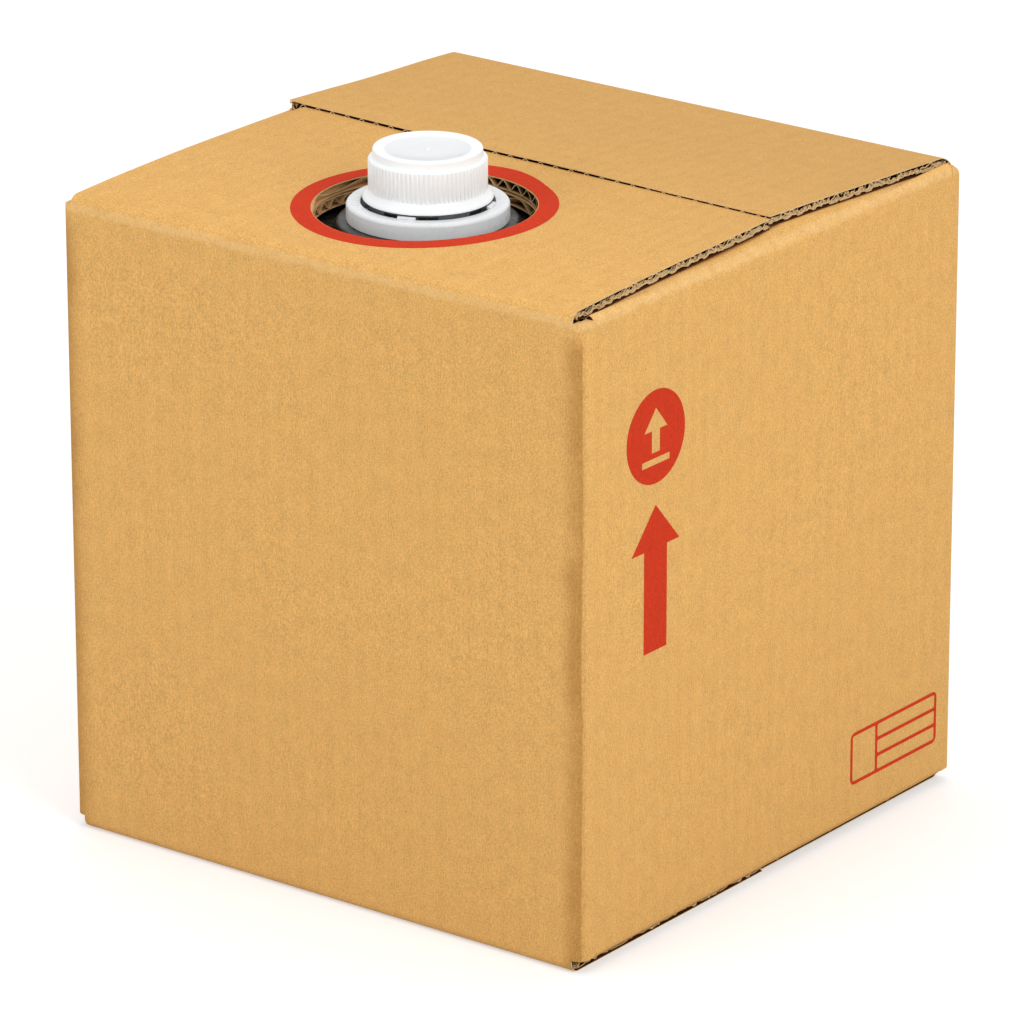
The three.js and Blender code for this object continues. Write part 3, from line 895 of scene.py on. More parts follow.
@dataclass(frozen=True)
class FilmFinish(Finish):
    """Dark blown film, glossy with soft streaks and dust."""

    dust_colour: tuple[float, ...] = paint(118, 117, 108)

    def build(self, effects: Effects) -> bpy.types.Material:
        """Builds the material.

        Args:
            effects: The shared node groups.

        Returns:
            The material.
        """
        material, graph, shader, place = self.start()
        streaks = graph.noise(place, 9 * MM, 3.0)
        dust = graph.between(graph.noise(place, 1.6 * MM, 5.0, 0.7), 0.5, 0.8, (0.0, 0.3))
        colour = graph.mix(dust, self.colour, self.dust_colour)
        graph.feed(shader.inputs["Base Color"], colour)
        graph.feed(shader.inputs["Roughness"], graph.between(streaks, 0.3, 0.7, (0.22, 0.46)))
        fibres = effects.place(graph, effects.fibres, Place=place, Size=3.0 * MM)
        height = graph.math("MULTIPLY_ADD", streaks, 2.0, fibres.outputs["Height"])
        self.bump(graph, shader, height, 0.5 * MM)
        return material


@dataclass(frozen=True)
class PlasticFinish(Finish):
    """Moulded plastic with a faint orange peel and handling marks."""

    glow: float = 0.08
    panel_radius: float = 0.0
    panel_colour: tuple[float, ...] = paint(229, 231, 233)

    def build(self, effects: Effects) -> bpy.types.Material:
        """Builds the material.

        Args:
            effects: The shared node groups.

        Returns:
            The material.
        """
        material, graph, shader, place = self.start()
        clouds = graph.noise(place, 7 * MM, 3.0)
        colour = graph.mix(graph.between(clouds, 0.3, 0.7), tinted(self.colour, 0.975), self.colour)
        if self.panel_radius:
            away = graph.radius(place, NECK)
            panel = graph.between(away, self.panel_radius, self.panel_radius + 0.5 * MM, (1.0, 0.0))
            colour = graph.mix(panel, colour, self.panel_colour)
        graph.feed(shader.inputs["Base Color"], colour)
        rough = (self.roughness - 0.06, self.roughness + 0.08)
        graph.feed(shader.inputs["Roughness"], graph.between(clouds, 0.3, 0.7, rough))
        peel = graph.noise(place, 0.7 * MM, 2.0)
        self.bump(graph, shader, peel, 0.03 * MM)
        shader.inputs["Subsurface Weight"].default_value = self.glow
        shader.inputs["Subsurface Radius"].default_value = (2.0, 2.0, 2.0)
        shader.inputs["Subsurface Scale"].default_value = MM
        return material


class Palette:
    """Every material of the object."""

    def __init__(self) -> None:
        """Builds the shared effects and all finishes."""
        effects = Effects()
        kraft = paint(227, 174, 101)
        self.walls = KraftFinish("kraft_walls", kraft, 0.88, 0.25, by_wall=True).build(effects)
        self.flaps = KraftFinish("kraft_flaps", kraft, 0.88, 0.25).build(effects)
        self.cut = WaveFinish("kraft_cut", paint(252, 214, 158), 0.95, 0.1).build(effects)
        # Painted shade: the dark colour of the board's inside faces and waved sheet stands for shade in the
        # flutes; near the hole's rim it is painted lighter where light falls in.
        self.inside = WaveFinish("kraft_inside_shade", paint(88, 54, 32), 0.95, 0.05, True).build(effects)
        self.ink = InkFinish("red_ink", paint(205, 57, 28), 0.85, 0.12).build(effects)
        self.film = FilmFinish("dark_film", paint(34, 33, 30), 0.3, 0.5).build(effects)
        white = paint(247, 252, 254)
        self.cap = PlasticFinish("cap_plastic", white, 0.34, 0.5, panel_radius=18.6 * MM).build(effects)
        # Painted shade: the tamper band's dark grey stands for the shadow under the cap's flare.
        self.band = PlasticFinish("band_plastic", paint(104, 107, 109), 0.22, 0.5).build(effects)
        self.collar = PlasticFinish("collar_plastic", paint(226, 228, 230), 0.3, 0.5).build(effects)
        self.spout = PlasticFinish("spout_plastic", paint(206, 207, 207), 0.26, 0.5).build(effects)
        self.seal = PlasticFinish("seal_foam", paint(214, 213, 208), 0.8, 0.3).build(effects)


def dress(piece: bpy.types.Object, material: bpy.types.Material) -> None:
    """Gives a piece one material."""
    piece.data.materials.clear()
    piece.data.materials.append(material)


def hand_over(piece: bpy.types.Object, node: str, body: str | None = "carton") -> None:
    """Lets a finished piece stand for a CAD node, and reports it.

    Args:
        piece: The piece.
        node: The CAD node that it stands for.
        body: The body that it moves with, or None to leave it on no body.
    """
    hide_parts(node)
    if body:
        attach(piece, body)
    LOG.info("%s: %d faces", piece.name, len(piece.data.polygons))


def fill_slots(piece: bpy.types.Object, materials: Sequence[bpy.types.Material], index: int) -> None:
    """Fills an object's slots and gives all of its faces the same one.

    Args:
        piece: The object.
        materials: The materials of the slots.
        index: The slot for all faces.
    """
    for material in materials:
        piece.data.materials.append(material)
    for face in piece.data.polygons:
        face.material_index = index


def undulation(x: float, y: float, z: float) -> float:
    """Gives how far a sheet of board stands off its true plane at a place.

    Args:
        x: X of the place.
        y: Y of the place.
        z: Z of the place.

    Returns:
        The distance off the plane.
    """
    coarse = noise.noise(Vector((x, y, z)) / (110 * MM))
    fine = noise.noise(Vector((x, z, y)) / (38 * MM))
    return 0.35 * MM * coarse + 0.12 * MM * fine


@dataclass(frozen=True)
class Board:
    """Single-wall corrugated board: two flat faces and a waved sheet between them."""

    thickness: float = 4.8 * MM
    face: float = 0.42 * MM
    sheet: float = 0.34 * MM
    pitch: float = 8.6 * MM
    wave_steps: int = 10

    def faces(
        self,
        across: float,
        along: float,
        papers: Sequence[bpy.types.Material],
    ) -> list[bpy.types.Object]:
        """Makes the upper and lower face, flat, with the upper skin at height 0.

        Args:
            across: Width over the flutes, along X and centred.
            along: Length of the flutes, from Y 0.
            papers: The materials in the order of Paper.

        Returns:
            The two faces.
        """
        half = across / 2
        upper = slab("upper_face", (-half, 0, -self.face), (half, along, 0))
        lower = slab("lower_face", (-half, 0, -self.thickness), (half, along, self.face - self.thickness))
        for sheet, outward in ((upper, 1), (lower, -1)):
            fill_slots(sheet, papers, Paper.CUT.value)
            for face in sheet.data.polygons:
                if abs(face.normal.z) > 0.5:
                    side = Paper.SKIN if face.normal.z * outward > 0 else Paper.INSIDE
                    face.material_index = side.value
                # Painted shade: the lower face's side edges take the dark inside paper, a shadow line under
                # the board's edge.
                elif abs(face.normal.x) > 0.5 and outward < 0:
                    face.material_index = Paper.INSIDE.value
        return [upper, lower]

    def wave(
        self,
        across: float,
        along: float,
        papers: Sequence[bpy.types.Material],
    ) -> bpy.types.Object:
        """Makes the waved sheet: one wave is extruded step by step, then repeated.

        Args:
            across: Width over the flutes, along X and centred.
            along: Length of the flutes, from Y 0.
            papers: The materials in the order of Paper.

        Returns:
            The waved sheet.
        """
        count = round(across / self.pitch)
        pitch = across / count
        step = pitch / self.wave_steps
        swing = self.thickness / 2 - self.face - self.sheet / 2
        start = -across / 2
        bpy.ops.mesh.primitive_plane_add(
            size=1,
            location=(start - step / 2, along / 2, -self.thickness / 2),
        )
        sheet = bpy.context.object
        sheet.scale = (step, along, 1)
        sheet = settle(sheet, "wave")
        with editing(sheet):
            pick(sheet, Part.VERTEX, lambda place: place.x < start - step / 2)
            bpy.ops.mesh.delete(type="VERT")
            bpy.ops.mesh.select_all(action="SELECT")
            for i in range(self.wave_steps):
                rise = math.sin(2 * math.pi * (i + 1) / self.wave_steps)
                rise -= math.sin(2 * math.pi * i / self.wave_steps)
                bpy.ops.mesh.extrude_region_move(
                    TRANSFORM_OT_translate={"value": (step, 0, swing * rise)},
                )
        modify(
            sheet,
            "ARRAY",
            count=count,
            use_relative_offset=False,
            use_constant_offset=True,
            constant_offset_displace=(pitch, 0, 0),
            use_merge_vertices=True,
            merge_threshold=0.01 * MM,
        )
        # The waved sheet takes the dark inside paper: painted shade in the flutes.
        fill_slots(sheet, papers, Paper.INSIDE.value)
        modify(
            sheet,
            "SOLIDIFY",
            thickness=self.sheet,
            offset=0,
            material_offset_rim=Paper.CUT.value - Paper.INSIDE.value,
        )
        return sheet


BOARD = Board()


@dataclass
class Fold:
    """The route of a flap's outer skin: up the wall, round the crease and along to its free edge."""

    wall_start: float
    crease_top: float
    reach: float
    first_slope: float
    last_slope: float
    radius: float = 5.0 * MM
    step: float = 0.25 * MM
    places: list[tuple[float, float, float]] = field(default_factory=list)
    depths: list[float] = field(default_factory=list)

    def __post_init__(self) -> None:
        """Walks the route in small steps and keeps depth, height and heading at each."""
        first, last = math.radians(self.first_slope), math.radians(self.last_slope)
        depth, height = 0.0, self.wall_start
        arc_start = self.crease_top - self.radius * math.cos(first)
        turn = self.step / self.radius
        heading = math.pi / 2
        self.places.append((depth, height, heading))
        while depth < self.reach:
            if height >= arc_start and heading > first:
                heading = max(first, heading - turn)
            elif heading <= first:
                share = depth / self.reach
                heading = min(heading, first + (last - first) * min(1.0, 1.6 * share))
            depth += self.step * math.cos(heading)
            height += self.step * math.sin(heading)
            self.places.append((depth, height, heading))
        self.depths = [place[0] for place in self.places]

    @property
    def length(self) -> float:
        """The route's whole length."""
        return self.step * (len(self.places) - 1)

    def at(self, distance: float) -> tuple[float, float, float]:
        """Gives depth from the wall's face, height and heading at a distance along the route.

        Args:
            distance: How far along the route.

        Returns:
            Depth, height and heading.
        """
        share = min(max(distance / self.step, 0.0), len(self.places) - 1.001)
        index = int(share)
        share -= index
        near, far = self.places[index], self.places[index + 1]
        return tuple(a + (b - a) * share for a, b in zip(near, far))

    def distance_to(self, depth: float) -> float:
        """Gives the distance along the route at which it has come this far from the wall's face.

        Args:
            depth: How far from the wall's face.

        Returns:
            The distance along the route.
        """
        beyond = depth - self.places[-1][0]
        if beyond > 0:
            return self.length + beyond
        return bisect_left(self.depths, depth) * self.step

    def stations(self, coarse: bool, flat: bool = False) -> list[float]:
        """Gives where the flat board is sliced so that it can bend: close at the crease, wide beyond.

        Args:
            coarse: Whether half as many slices will do.
            flat: Whether the board stays flat beyond the crease.

        Returns:
            Distances along the route.
        """
        crease = [i * self.step for i, place in enumerate(self.places) if place[0] < self.radius + 2 * MM]
        close = crease[::7 if coarse else 3]
        if flat:
            return close[1:]
        curl = [self.length - i * MM for i in ((2, 6, 12) if coarse else (1.5, 3, 5, 7.5, 11, 15))]
        return close[1:] + spread(close[-1], self.length, (18 if coarse else 9) * MM) + curl


@dataclass(frozen=True)
class Tear:
    """A torn ribbon of the waved sheet inside a cut edge: where it runs and how it swings."""

    inset: float
    width: float
    level: float
    swing: float
    lean: float
    long_wave: float = 4.6 * MM
    short_wave: float = 1.9 * MM
    snap: float = 3.4


LIFT_POWER = 1.3  # how late on its way to the seam a flap's lift sets in
CURL_POWER = 20  # the same of the curl at the seam
END_POWER = 2.5  # how close to a flap's side edges the lift of one end keeps
TEARS = (
    Tear(1.1 * MM, 1.5 * MM, -0.5, 0.4, -0.7),
    Tear(0.4 * MM, 0.6 * MM, 0.2, 0.95, 0.9),
    Tear(2.6 * MM, 0.8 * MM, 0.1, 1.0, 0.9),
)


@dataclass
class FoldedFlap:
    """A flap of corrugated board with the strip of wall that it folds from."""

    name: str
    facing: Facing
    width: float
    half_depth: float
    fold: Fold
    hole_depth: float | None = None
    seam_lift: tuple[float, float, float] = (0.0, 0.0, 0.0)
    root_lift: tuple[float, float] = (0.0, 0.0)
    seam_curl: tuple[float, float, float] = (0.0, 0.0, 0.0)
    skew: tuple[float, float] = (0.0, 0.0)
    seam_zone: float = 14 * MM
    seam_wander: float = 0.0
    sway: float = 0.4 * MM
    ripple: float = 0.08 * MM
    crush: float = 0.16
    corner_drop: float = 0.0
    bow: Callable[[float, float, float], float] | None = None
    upside_down: bool = False
    ragged: bool = True
    open_edges: tuple[float, float] = (4 * MM, 4 * MM)
    closed_side: int = 0

    def put(self, place: Vector) -> Vector:
        """Bends a point of the flat board along the fold and sets it on its side of the carton.

        Args:
            place: X over the flutes, Y along the route, Z up from the outer skin.

        Returns:
            The point in the object's frame.
        """
        bent = self.bent(place)
        if self.upside_down:
            bent = Vector((-bent.x, bent.y, 2 * self.fold.wall_start - bent.z))
        return spin(self.facing.value) @ bent

    def underside(self, place: Vector) -> float:
        """Gives the height of the flap's lower face over a point of the object's frame.

        Args:
            place: The point in the object's frame.

        Returns:
            The height of the lower face.
        """
        own = spin(-self.facing.value) @ place
        distance = self.fold.distance_to(own.y + self.half_depth)
        return self.bent(Vector((own.x, distance, -BOARD.thickness))).z

    def bent(self, place: Vector) -> Vector:
        """Bends a point of the flat board along the fold, as if the flap were the front one.

        Args:
            place: Across the flap, along the route and up from the outer face.

        Returns:
            The bent point in the frame of a front flap.
        """
        depth, height, heading = self.fold.at(place.y)
        out = blend_in(depth, 2 * MM, 40 * MM)
        near_seam = blend_in(place.y, self.fold.length - 28 * MM, self.fold.length)
        at_seam = max(0.0, 1 - (self.fold.length - place.y) / self.seam_zone)
        side = max(-1.0, min(1.0, 2 * place.x / self.width))
        crush = 1 - self.crush * blend_in(depth, 0, 2 * MM) * (1 - blend_in(depth, 4 * MM, 10 * MM))
        across = depth - math.sin(heading) * place.z * crush
        up = height + math.cos(heading) * place.z * crush
        key = 7.0 * self.facing.value
        sway = noise.noise(Vector((place.x / (70 * MM), place.y / (60 * MM), key)))
        ripple = noise.noise(Vector((place.x / (16 * MM), place.y / (60 * MM), key + 3)))
        share = depth / self.fold.reach
        if not self.upside_down:
            up += out * (self.sway * sway + self.ripple * ripple)
        rises = ((self.seam_lift, LIFT_POWER), (self.seam_curl, CURL_POWER))
        for (low_end, middle, high_end), power in rises:
            end = low_end if side < 0 else high_end
            up += (middle + (end - middle) * abs(side) ** END_POWER) * share**power
        tilt = self.root_lift[0] * (1 - side) / 2 + self.root_lift[1] * (1 + side) / 2
        up += tilt * blend_in(depth, 0, 6 * MM) * (1 - share)
        up -= self.corner_drop * blend_in(-side, 0.93, 1) * share**CURL_POWER
        if self.bow:
            up += self.bow(place.x, place.y, depth)
        wander = noise.noise(Vector((place.x / (13 * MM), key, 0)))
        across += near_seam * self.seam_wander * wander
        across += at_seam * (self.skew[0] * (1 - side) / 2 + self.skew[1] * (1 + side) / 2)
        return Vector((place.x, across - self.half_depth, up))

    def cut_hole(self, pieces: Sequence[bpy.types.Object]) -> None:
        """Cuts the round hole through the flat board.

        Args:
            pieces: The flat layers of the board.
        """
        middle = self.fold.distance_to(self.hole_depth)
        for piece in pieces:
            place = (HOLE_OFFSET[self.facing], middle, 0)
            cutter = cylinder("hole_cutter", HOLE_RADIUS, 40 * MM, place, 144)
            fill_slots(cutter, piece.data.materials, Paper.CUT.value)
            carve(piece, cutter)

    def bend(self, piece: bpy.types.Object, columns: bool) -> None:
        """Slices a flat layer where it must bend, then bends it.

        Args:
            piece: The layer.
            columns: Whether it is sliced over the flutes too.
        """
        with editing(piece):
            split_many_sided()
            slice_at(1, self.fold.stations(not columns, self.upside_down))
            if columns and not self.upside_down:
                slice_at(0, spread(-self.width / 2, self.width / 2, COLUMN))
                slice_at(0, [side * (self.width / 2 - i * MM) for side in (-1, 1) for i in (1.5, 3, 4.5, 6)])
        shift(piece, self.put)

    def fringe(
        self,
        side: int,
        ribbon: Tear,
        papers: Sequence[bpy.types.Material],
    ) -> bpy.types.Object:
        """Makes a torn strip of the waved sheet along a side edge.

        Args:
            side: -1 for the low side, 1 for the high side.
            ribbon: How the strip runs.
            papers: The materials in the order of Paper.

        Returns:
            The strip, bent like the flap.
        """
        edge = side * (self.width / 2 - ribbon.inset)
        seed = ribbon.inset / MM * 7
        start = self.fold.distance_to(1.5 * MM)
        count = int((self.fold.length - start) / (0.8 * MM))
        step = (self.fold.length - start) / count
        bpy.ops.mesh.primitive_plane_add(size=1, location=(edge, start - step / 2, -BOARD.thickness / 2))
        strip = bpy.context.object
        strip.scale = (ribbon.width, step, 1)
        strip = settle(strip, "fringe")
        with editing(strip):
            pick(strip, Part.EDGE, lambda place: place.y > start - step / 4)
            for _ in range(count):
                bpy.ops.mesh.extrude_region_move(TRANSFORM_OT_translate={"value": (0, step, 0)})

        def tear(place: Vector) -> Vector:
            """Lets the strip wander between the faces and in and out of the edge.

            Args:
                place: A point of the straight strip.

            Returns:
                The point of the torn strip.
            """
            swing = noise.noise(Vector((place.y / ribbon.long_wave, seed, side)))
            swing += 0.5 * noise.noise(Vector((place.y / ribbon.short_wave, seed + 9, side)))
            swing = math.tanh(ribbon.snap * swing)
            out = 0.35 * MM * noise.noise(Vector((place.y / (3 * MM), seed + 5, 0)))
            lean = (place.x - edge) * side * ribbon.lean
            room = BOARD.thickness / 2 - BOARD.face - BOARD.sheet / 2
            level = -ribbon.level if self.upside_down else ribbon.level
            rise = max(-room, min(room, (swing * ribbon.swing + level) * room + lean))
            return place + Vector((side * min(0.0, out), 0, rise))

        shift(strip, tear)
        fill_slots(strip, papers, Paper.CUT.value)
        modify(strip, "SOLIDIFY", thickness=BOARD.sheet, offset=0)
        shift(strip, self.put)
        return strip

    def build(self, papers: Sequence[bpy.types.Material]) -> bpy.types.Object:
        """Builds the flap from its layers.

        Args:
            papers: The materials in the order of Paper.

        Returns:
            The flap as one object.
        """
        length = self.fold.length
        faces = BOARD.faces(self.width, length, papers)
        low_edge, high_edge = self.open_edges if self.ragged else (0.0, 0.0)
        wave = BOARD.wave(self.width - low_edge - high_edge, length, papers)
        shift(wave, lambda place: place + Vector(((low_edge - high_edge) / 2, 0, 0)))
        if self.hole_depth is not None:
            self.cut_hole([*faces, wave])
        strips = []
        if self.ragged:
            strips = [self.fringe(side, tear, papers) for side in (-1, 1) for tear in TEARS]
        if self.closed_side:
            edge = self.closed_side * (self.width / 2 - 1.3 * MM)
            inner = self.closed_side * (self.width / 2 - 1.6 * MM)
            low_z, high_z = BOARD.face - BOARD.thickness, -BOARD.face
            closing = slab("closing", (min(edge, inner), 0, low_z), (max(edge, inner), length, high_z))
            fill_slots(closing, papers, Paper.CUT.value)
            self.bend(closing, False)
            strips.append(closing)
        for piece in faces:
            self.bend(piece, True)
        self.bend(wave, False)
        flap = gather(self.name, [*faces, wave, *strips])
        smooth(flap, 35)
        return flap


@dataclass
class Carton:
    """The walls, the glued bottom and the inner flaps, and the two outer flaps that open."""

    low: Vector
    high: Vector
    corner_radius: float = 5 * MM
    outer_inset: float = 5.5 * MM
    inner_clearance: float = 4.2 * MM
    seam_gap: float = 0.1 * MM
    slot_end: float = 1.4 * MM
    front_corner_rise: float = 1.8 * MM
    front_slopes: tuple[float, float] = (3.0, 0.3)
    back_slopes: tuple[float, float] = (2.5, 2.5)
    front_radius: float = 5 * MM
    back_radius: float = 12 * MM
    seam_skew: float = 11 * MM
    wall_strip: float = 6 * MM
    bottom_crush: float = 1.0 * MM
    corner_round: float = 16 * MM
    ring_clearance: float = 0.35 * MM
    root_rise: float = 5.1 * MM
    back_corner_rise: float = 4.3 * MM
    least_post: float = 0.6 * MM
    cover_gap: float = 0.4 * MM
    hinge_drop: float = 4 * MM
    hinge_way: tuple[float, float, float] = (0.0, 3.5 * MM, 8 * MM)

    def outer_width(self) -> float:
        """Width of the outer flaps."""
        return 2 * (self.high.x - self.outer_inset)

    def inner_width(self) -> float:
        """Width of the inner flaps."""
        return 2 * (self.high.y - BOARD.thickness - self.inner_clearance)

    def outer_fold(self, slopes: tuple[float, float], radius: float) -> Fold:
        """Gives the route of an outer top flap."""
        root, reach = self.high.z + self.root_rise, self.high.y - self.seam_gap / 2
        return Fold(self.high.z - self.wall_strip, root, reach, *slopes, radius=radius)

    def inner_fold(self, lift: float) -> Fold:
        """Gives the route of an inner flap, or of any flap that lies level, above a strip of wall."""
        return Fold(self.high.z - self.wall_strip, self.high.z - lift, self.high.x - self.seam_gap / 2, 0, 0)

    def under_covers(self, facing: Facing, covers: Sequence[FoldedFlap]) -> Callable:
        """Gives the rule that lifts an inner flap until it lies against the outer flaps.

        Args:
            facing: The inner flap's side.
            covers: The front and the back outer flap.

        Returns:
            A rule that takes X, distance along the route and depth, and gives the lift.
        """
        turn = spin(facing.value)
        front, back = covers

        def lift(across: float, distance: float, depth: float) -> float:
            """Gives how far a point of the inner flap is lifted.

            Args:
                across: How far the point lies across the flap.
                distance: How far along the route.
                depth: How far from the wall's face.

            Returns:
                The lift in metres.
            """
            place = turn @ Vector((across, depth - self.high.x, 0))
            sag = 0.8 * MM * blend_in(place.y, -90 * MM, -25 * MM) * blend_in(-place.y, 0, 12 * MM)
            under = (front if place.y < 0 else back).underside(place) - self.cover_gap - sag
            risen = max(0.0, under - self.high.z) * blend_in(depth, 0.5 * MM, 6 * MM)
            crest = 0.8 * MM + 1.8 * MM * blend_in(-place.y, 50 * MM, 120 * MM)
            crest += 2.4 * MM * blend_in(place.y, 60 * MM, 132 * MM)
            crest *= blend_in(distance, 0, 5 * MM) * (1 - blend_in(depth, 3 * MM, 6 * MM))
            return max(risen, crest)

        return lift

    def crushed(self, across: float, distance: float, depth: float) -> float:
        """Gives how far a point of an inner bottom flap lies above its crease, which hangs low."""
        return -self.bottom_crush * blend_in(depth, 2.5 * MM, 5.5 * MM)

    def flaps_that_stay(self, covers: Sequence[FoldedFlap]) -> list[FoldedFlap]:
        """Lists the inner top flaps and the four bottom flaps.

        Args:
            covers: The front and the back outer flap.

        Returns:
            The flaps that are one piece with the walls.
        """
        flaps = []
        for facing in (Facing.RIGHT, Facing.LEFT):
            flaps.append(FoldedFlap(
                f"inner_top_{facing.name.lower()}",
                facing,
                self.inner_width(),
                self.high.x,
                self.inner_fold(0),
                hole_depth=self.high.x,
                bow=self.under_covers(facing, covers),
                ragged=False,
            ))
        for facing, lift, width in (
            (Facing.RIGHT, BOARD.thickness - self.bottom_crush, self.inner_width()),
            (Facing.LEFT, BOARD.thickness - self.bottom_crush, self.inner_width()),
            (Facing.FRONT, 0.0, self.outer_width()),
            (Facing.BACK, 0.0, self.outer_width() - 3 * MM),
        ):
            flaps.append(FoldedFlap(
                f"bottom_{facing.name.lower()}",
                facing,
                width,
                self.high.x,
                self.bottom_fold(lift),
                upside_down=True,
                bow=self.crushed if lift else None,
                ragged=lift == 0,
            ))
        return flaps

    def bottom_fold(self, lift: float) -> Fold:
        """Gives the route of a bottom flap, drawn upside down above the strip of wall that it turns from."""
        strip = 2 * BOARD.thickness
        return Fold(strip, 2 * strip - lift, self.high.x - self.seam_gap / 2, 0, 0)

    def ring(self) -> bpy.types.Object:
        """Makes the four walls with round upright corners and the slots between the flaps.

        Returns:
            The walls as one solid.
        """
        foot, top = self.low.z + BOARD.thickness + self.slot_end, self.high.z - self.slot_end
        walls = slab("walls", (-self.high.x, -self.high.y, foot), (self.high.x, self.high.y, top))
        strip_top = self.high.z - self.wall_strip
        strip_foot = self.low.z + 2 * BOARD.thickness
        outer, inner = self.outer_width() / 2, self.inner_width() / 2
        face_x, face_y = self.high.x - 0.1 * MM, self.high.y - 0.1 * MM
        with editing(walls):
            pick(walls, Part.FACE, lambda place: abs(place.x) + abs(place.y) < MM)
            bpy.ops.mesh.delete(type="FACE")
            pick(walls, Part.EDGE, lambda place: abs(place.x) > face_x and abs(place.y) > face_y)
            bpy.ops.mesh.bevel(offset=self.corner_radius, segments=6, affect="EDGES")
            slice_at(2, [strip_foot, strip_top, *spread(strip_foot, strip_top, 12 * MM)])
            slice_at(0, [-outer, outer, *spread(-outer, outer, 12 * MM)])
            slice_at(1, [-inner, inner, *spread(-inner, inner, 12 * MM)])
            pick(walls, Part.FACE, lambda place: (
                not strip_foot < place.z < strip_top
                and (
                    (abs(place.y) > face_y and abs(place.x) < outer)
                    or (abs(place.x) > face_x and abs(place.y) < inner)
                )
            ))
            bpy.ops.mesh.delete(type="FACE")
        shift(walls, self.ripple)
        shift(walls, lambda place: place + UP * self.corner_rise(place, strip_top))
        modify(walls, "SOLIDIFY", thickness=BOARD.thickness, offset=-1)
        return walls

    def corner_rise(self, place: Vector, strip_top: float) -> float:
        """Gives how much higher the top of an upright corner lies: at the back it follows the fold.

        Args:
            place: A point of the corner.
            strip_top: The height where the strip under the flaps begins, above which points rise.

        Returns:
            How far the point rises.
        """
        if place.z <= strip_top + 0.1 * MM:
            return 0.0
        if place.y < 0:
            return self.front_corner_rise
        inset = min(self.corner_round, self.high.y - place.y)
        fall = self.corner_round - math.sqrt(self.corner_round**2 - (self.corner_round - inset) ** 2)
        return max(self.slot_end + self.back_corner_rise - fall, strip_top + self.least_post - place.z)

    def ripple(self, place: Vector) -> Vector:
        """Sets a point of a wall a little off its true plane, apart from the edges.

        Args:
            place: A point of a wall.

        Returns:
            The point where it belongs.
        """
        inset = max(self.high.x - abs(place.x), self.high.y - abs(place.y))
        level = min(place.z - self.low.z, self.high.z - place.z)
        share = blend_in(inset, 5 * MM, 30 * MM) * blend_in(level, 11 * MM, 36 * MM)
        offset = undulation(*place) * share
        if self.high.x - abs(place.x) < 0.1 * MM:
            return place + Vector((math.copysign(offset, place.x * offset), 0, 0))
        if self.high.y - abs(place.y) < 0.1 * MM:
            return place + Vector((0, math.copysign(offset, place.y * offset), 0))
        return place

    def build(self, palette: Palette) -> None:
        """Builds the carton's three pieces and sets the walls on the carton's body; the outer flaps are left
        on no body.

        Args:
            palette: The object's materials.
        """
        front, back = self.outer_flaps()
        walls = self.ring()
        walls.data.materials.append(palette.walls)
        papers = (palette.walls, palette.cut, palette.inside)
        folded = [flap.build(papers) for flap in self.flaps_that_stay((front, back))]
        body = gather("carton_walls", [walls, *folded])
        smooth(body, 35)
        hand_over(body, "carton_body")
        papers = (palette.flaps, palette.cut, palette.inside)
        for flap, node in ((front, "top_flap_front"), (back, "top_flap_back")):
            piece = flap.build(papers)
            hand_over(piece, node, None)
            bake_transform(piece)
        self.print_ring(front, palette)

    def outer_flaps(self) -> tuple[FoldedFlap, FoldedFlap]:
        """Lays out the two outer top flaps, which rise towards a seam that runs a little askew.

        Returns:
            The front and the back flap.
        """
        front = FoldedFlap(
            "front_flap_board",
            Facing.FRONT,
            self.outer_width(),
            self.high.y,
            self.outer_fold(self.front_slopes, self.front_radius),
            hole_depth=HOLE_SETBACK,
            seam_lift=(0.0, 0.2 * MM, 2.2 * MM),
            seam_curl=(3.0 * MM, 2.2 * MM, 0.3 * MM),
            skew=(self.seam_skew, 0.0),
            seam_wander=0.3 * MM,
            corner_drop=3.2 * MM,
            open_edges=(2 * MM, 4 * MM),
            closed_side=-1,
        )
        back = FoldedFlap(
            "back_flap_board",
            Facing.BACK,
            self.outer_width(),
            self.high.y,
            self.outer_fold(self.back_slopes, self.back_radius),
            seam_lift=(0.1 * MM, -0.1 * MM, 0.8 * MM),
            root_lift=(-0.6 * MM, 0.9 * MM),
            skew=(0.0, -self.seam_skew),
            seam_zone=60 * MM,
            seam_wander=0.3 * MM,
            open_edges=(4 * MM, 2 * MM),
            closed_side=1,
        )
        return front, back

    def print_ring(self, flap: FoldedFlap, palette: Palette) -> None:
        """Prints the ring round the hole on the front flap.

        Args:
            flap: The front flap.
            palette: The object's materials.
        """
        middle = (0, flap.fold.distance_to(flap.hole_depth), 0)
        ring = cylinder("print_ring_ink", RING_RADIUS, INK, middle, 160)
        carve(ring, cylinder("ring_cutter", HOLE_RADIUS + self.ring_clearance, 4 * MM, middle, 144))
        with editing(ring):
            split_many_sided()
            slice_at(1, flap.fold.stations(coarse=False))
            slice_at(0, spread(-flap.width / 2, flap.width / 2, COLUMN))
        shift(ring, lambda place: flap.put(place + Vector((0, 0, INK))))
        dress(ring, palette.ink)
        hand_over(ring, "print_ring", "front_flap")


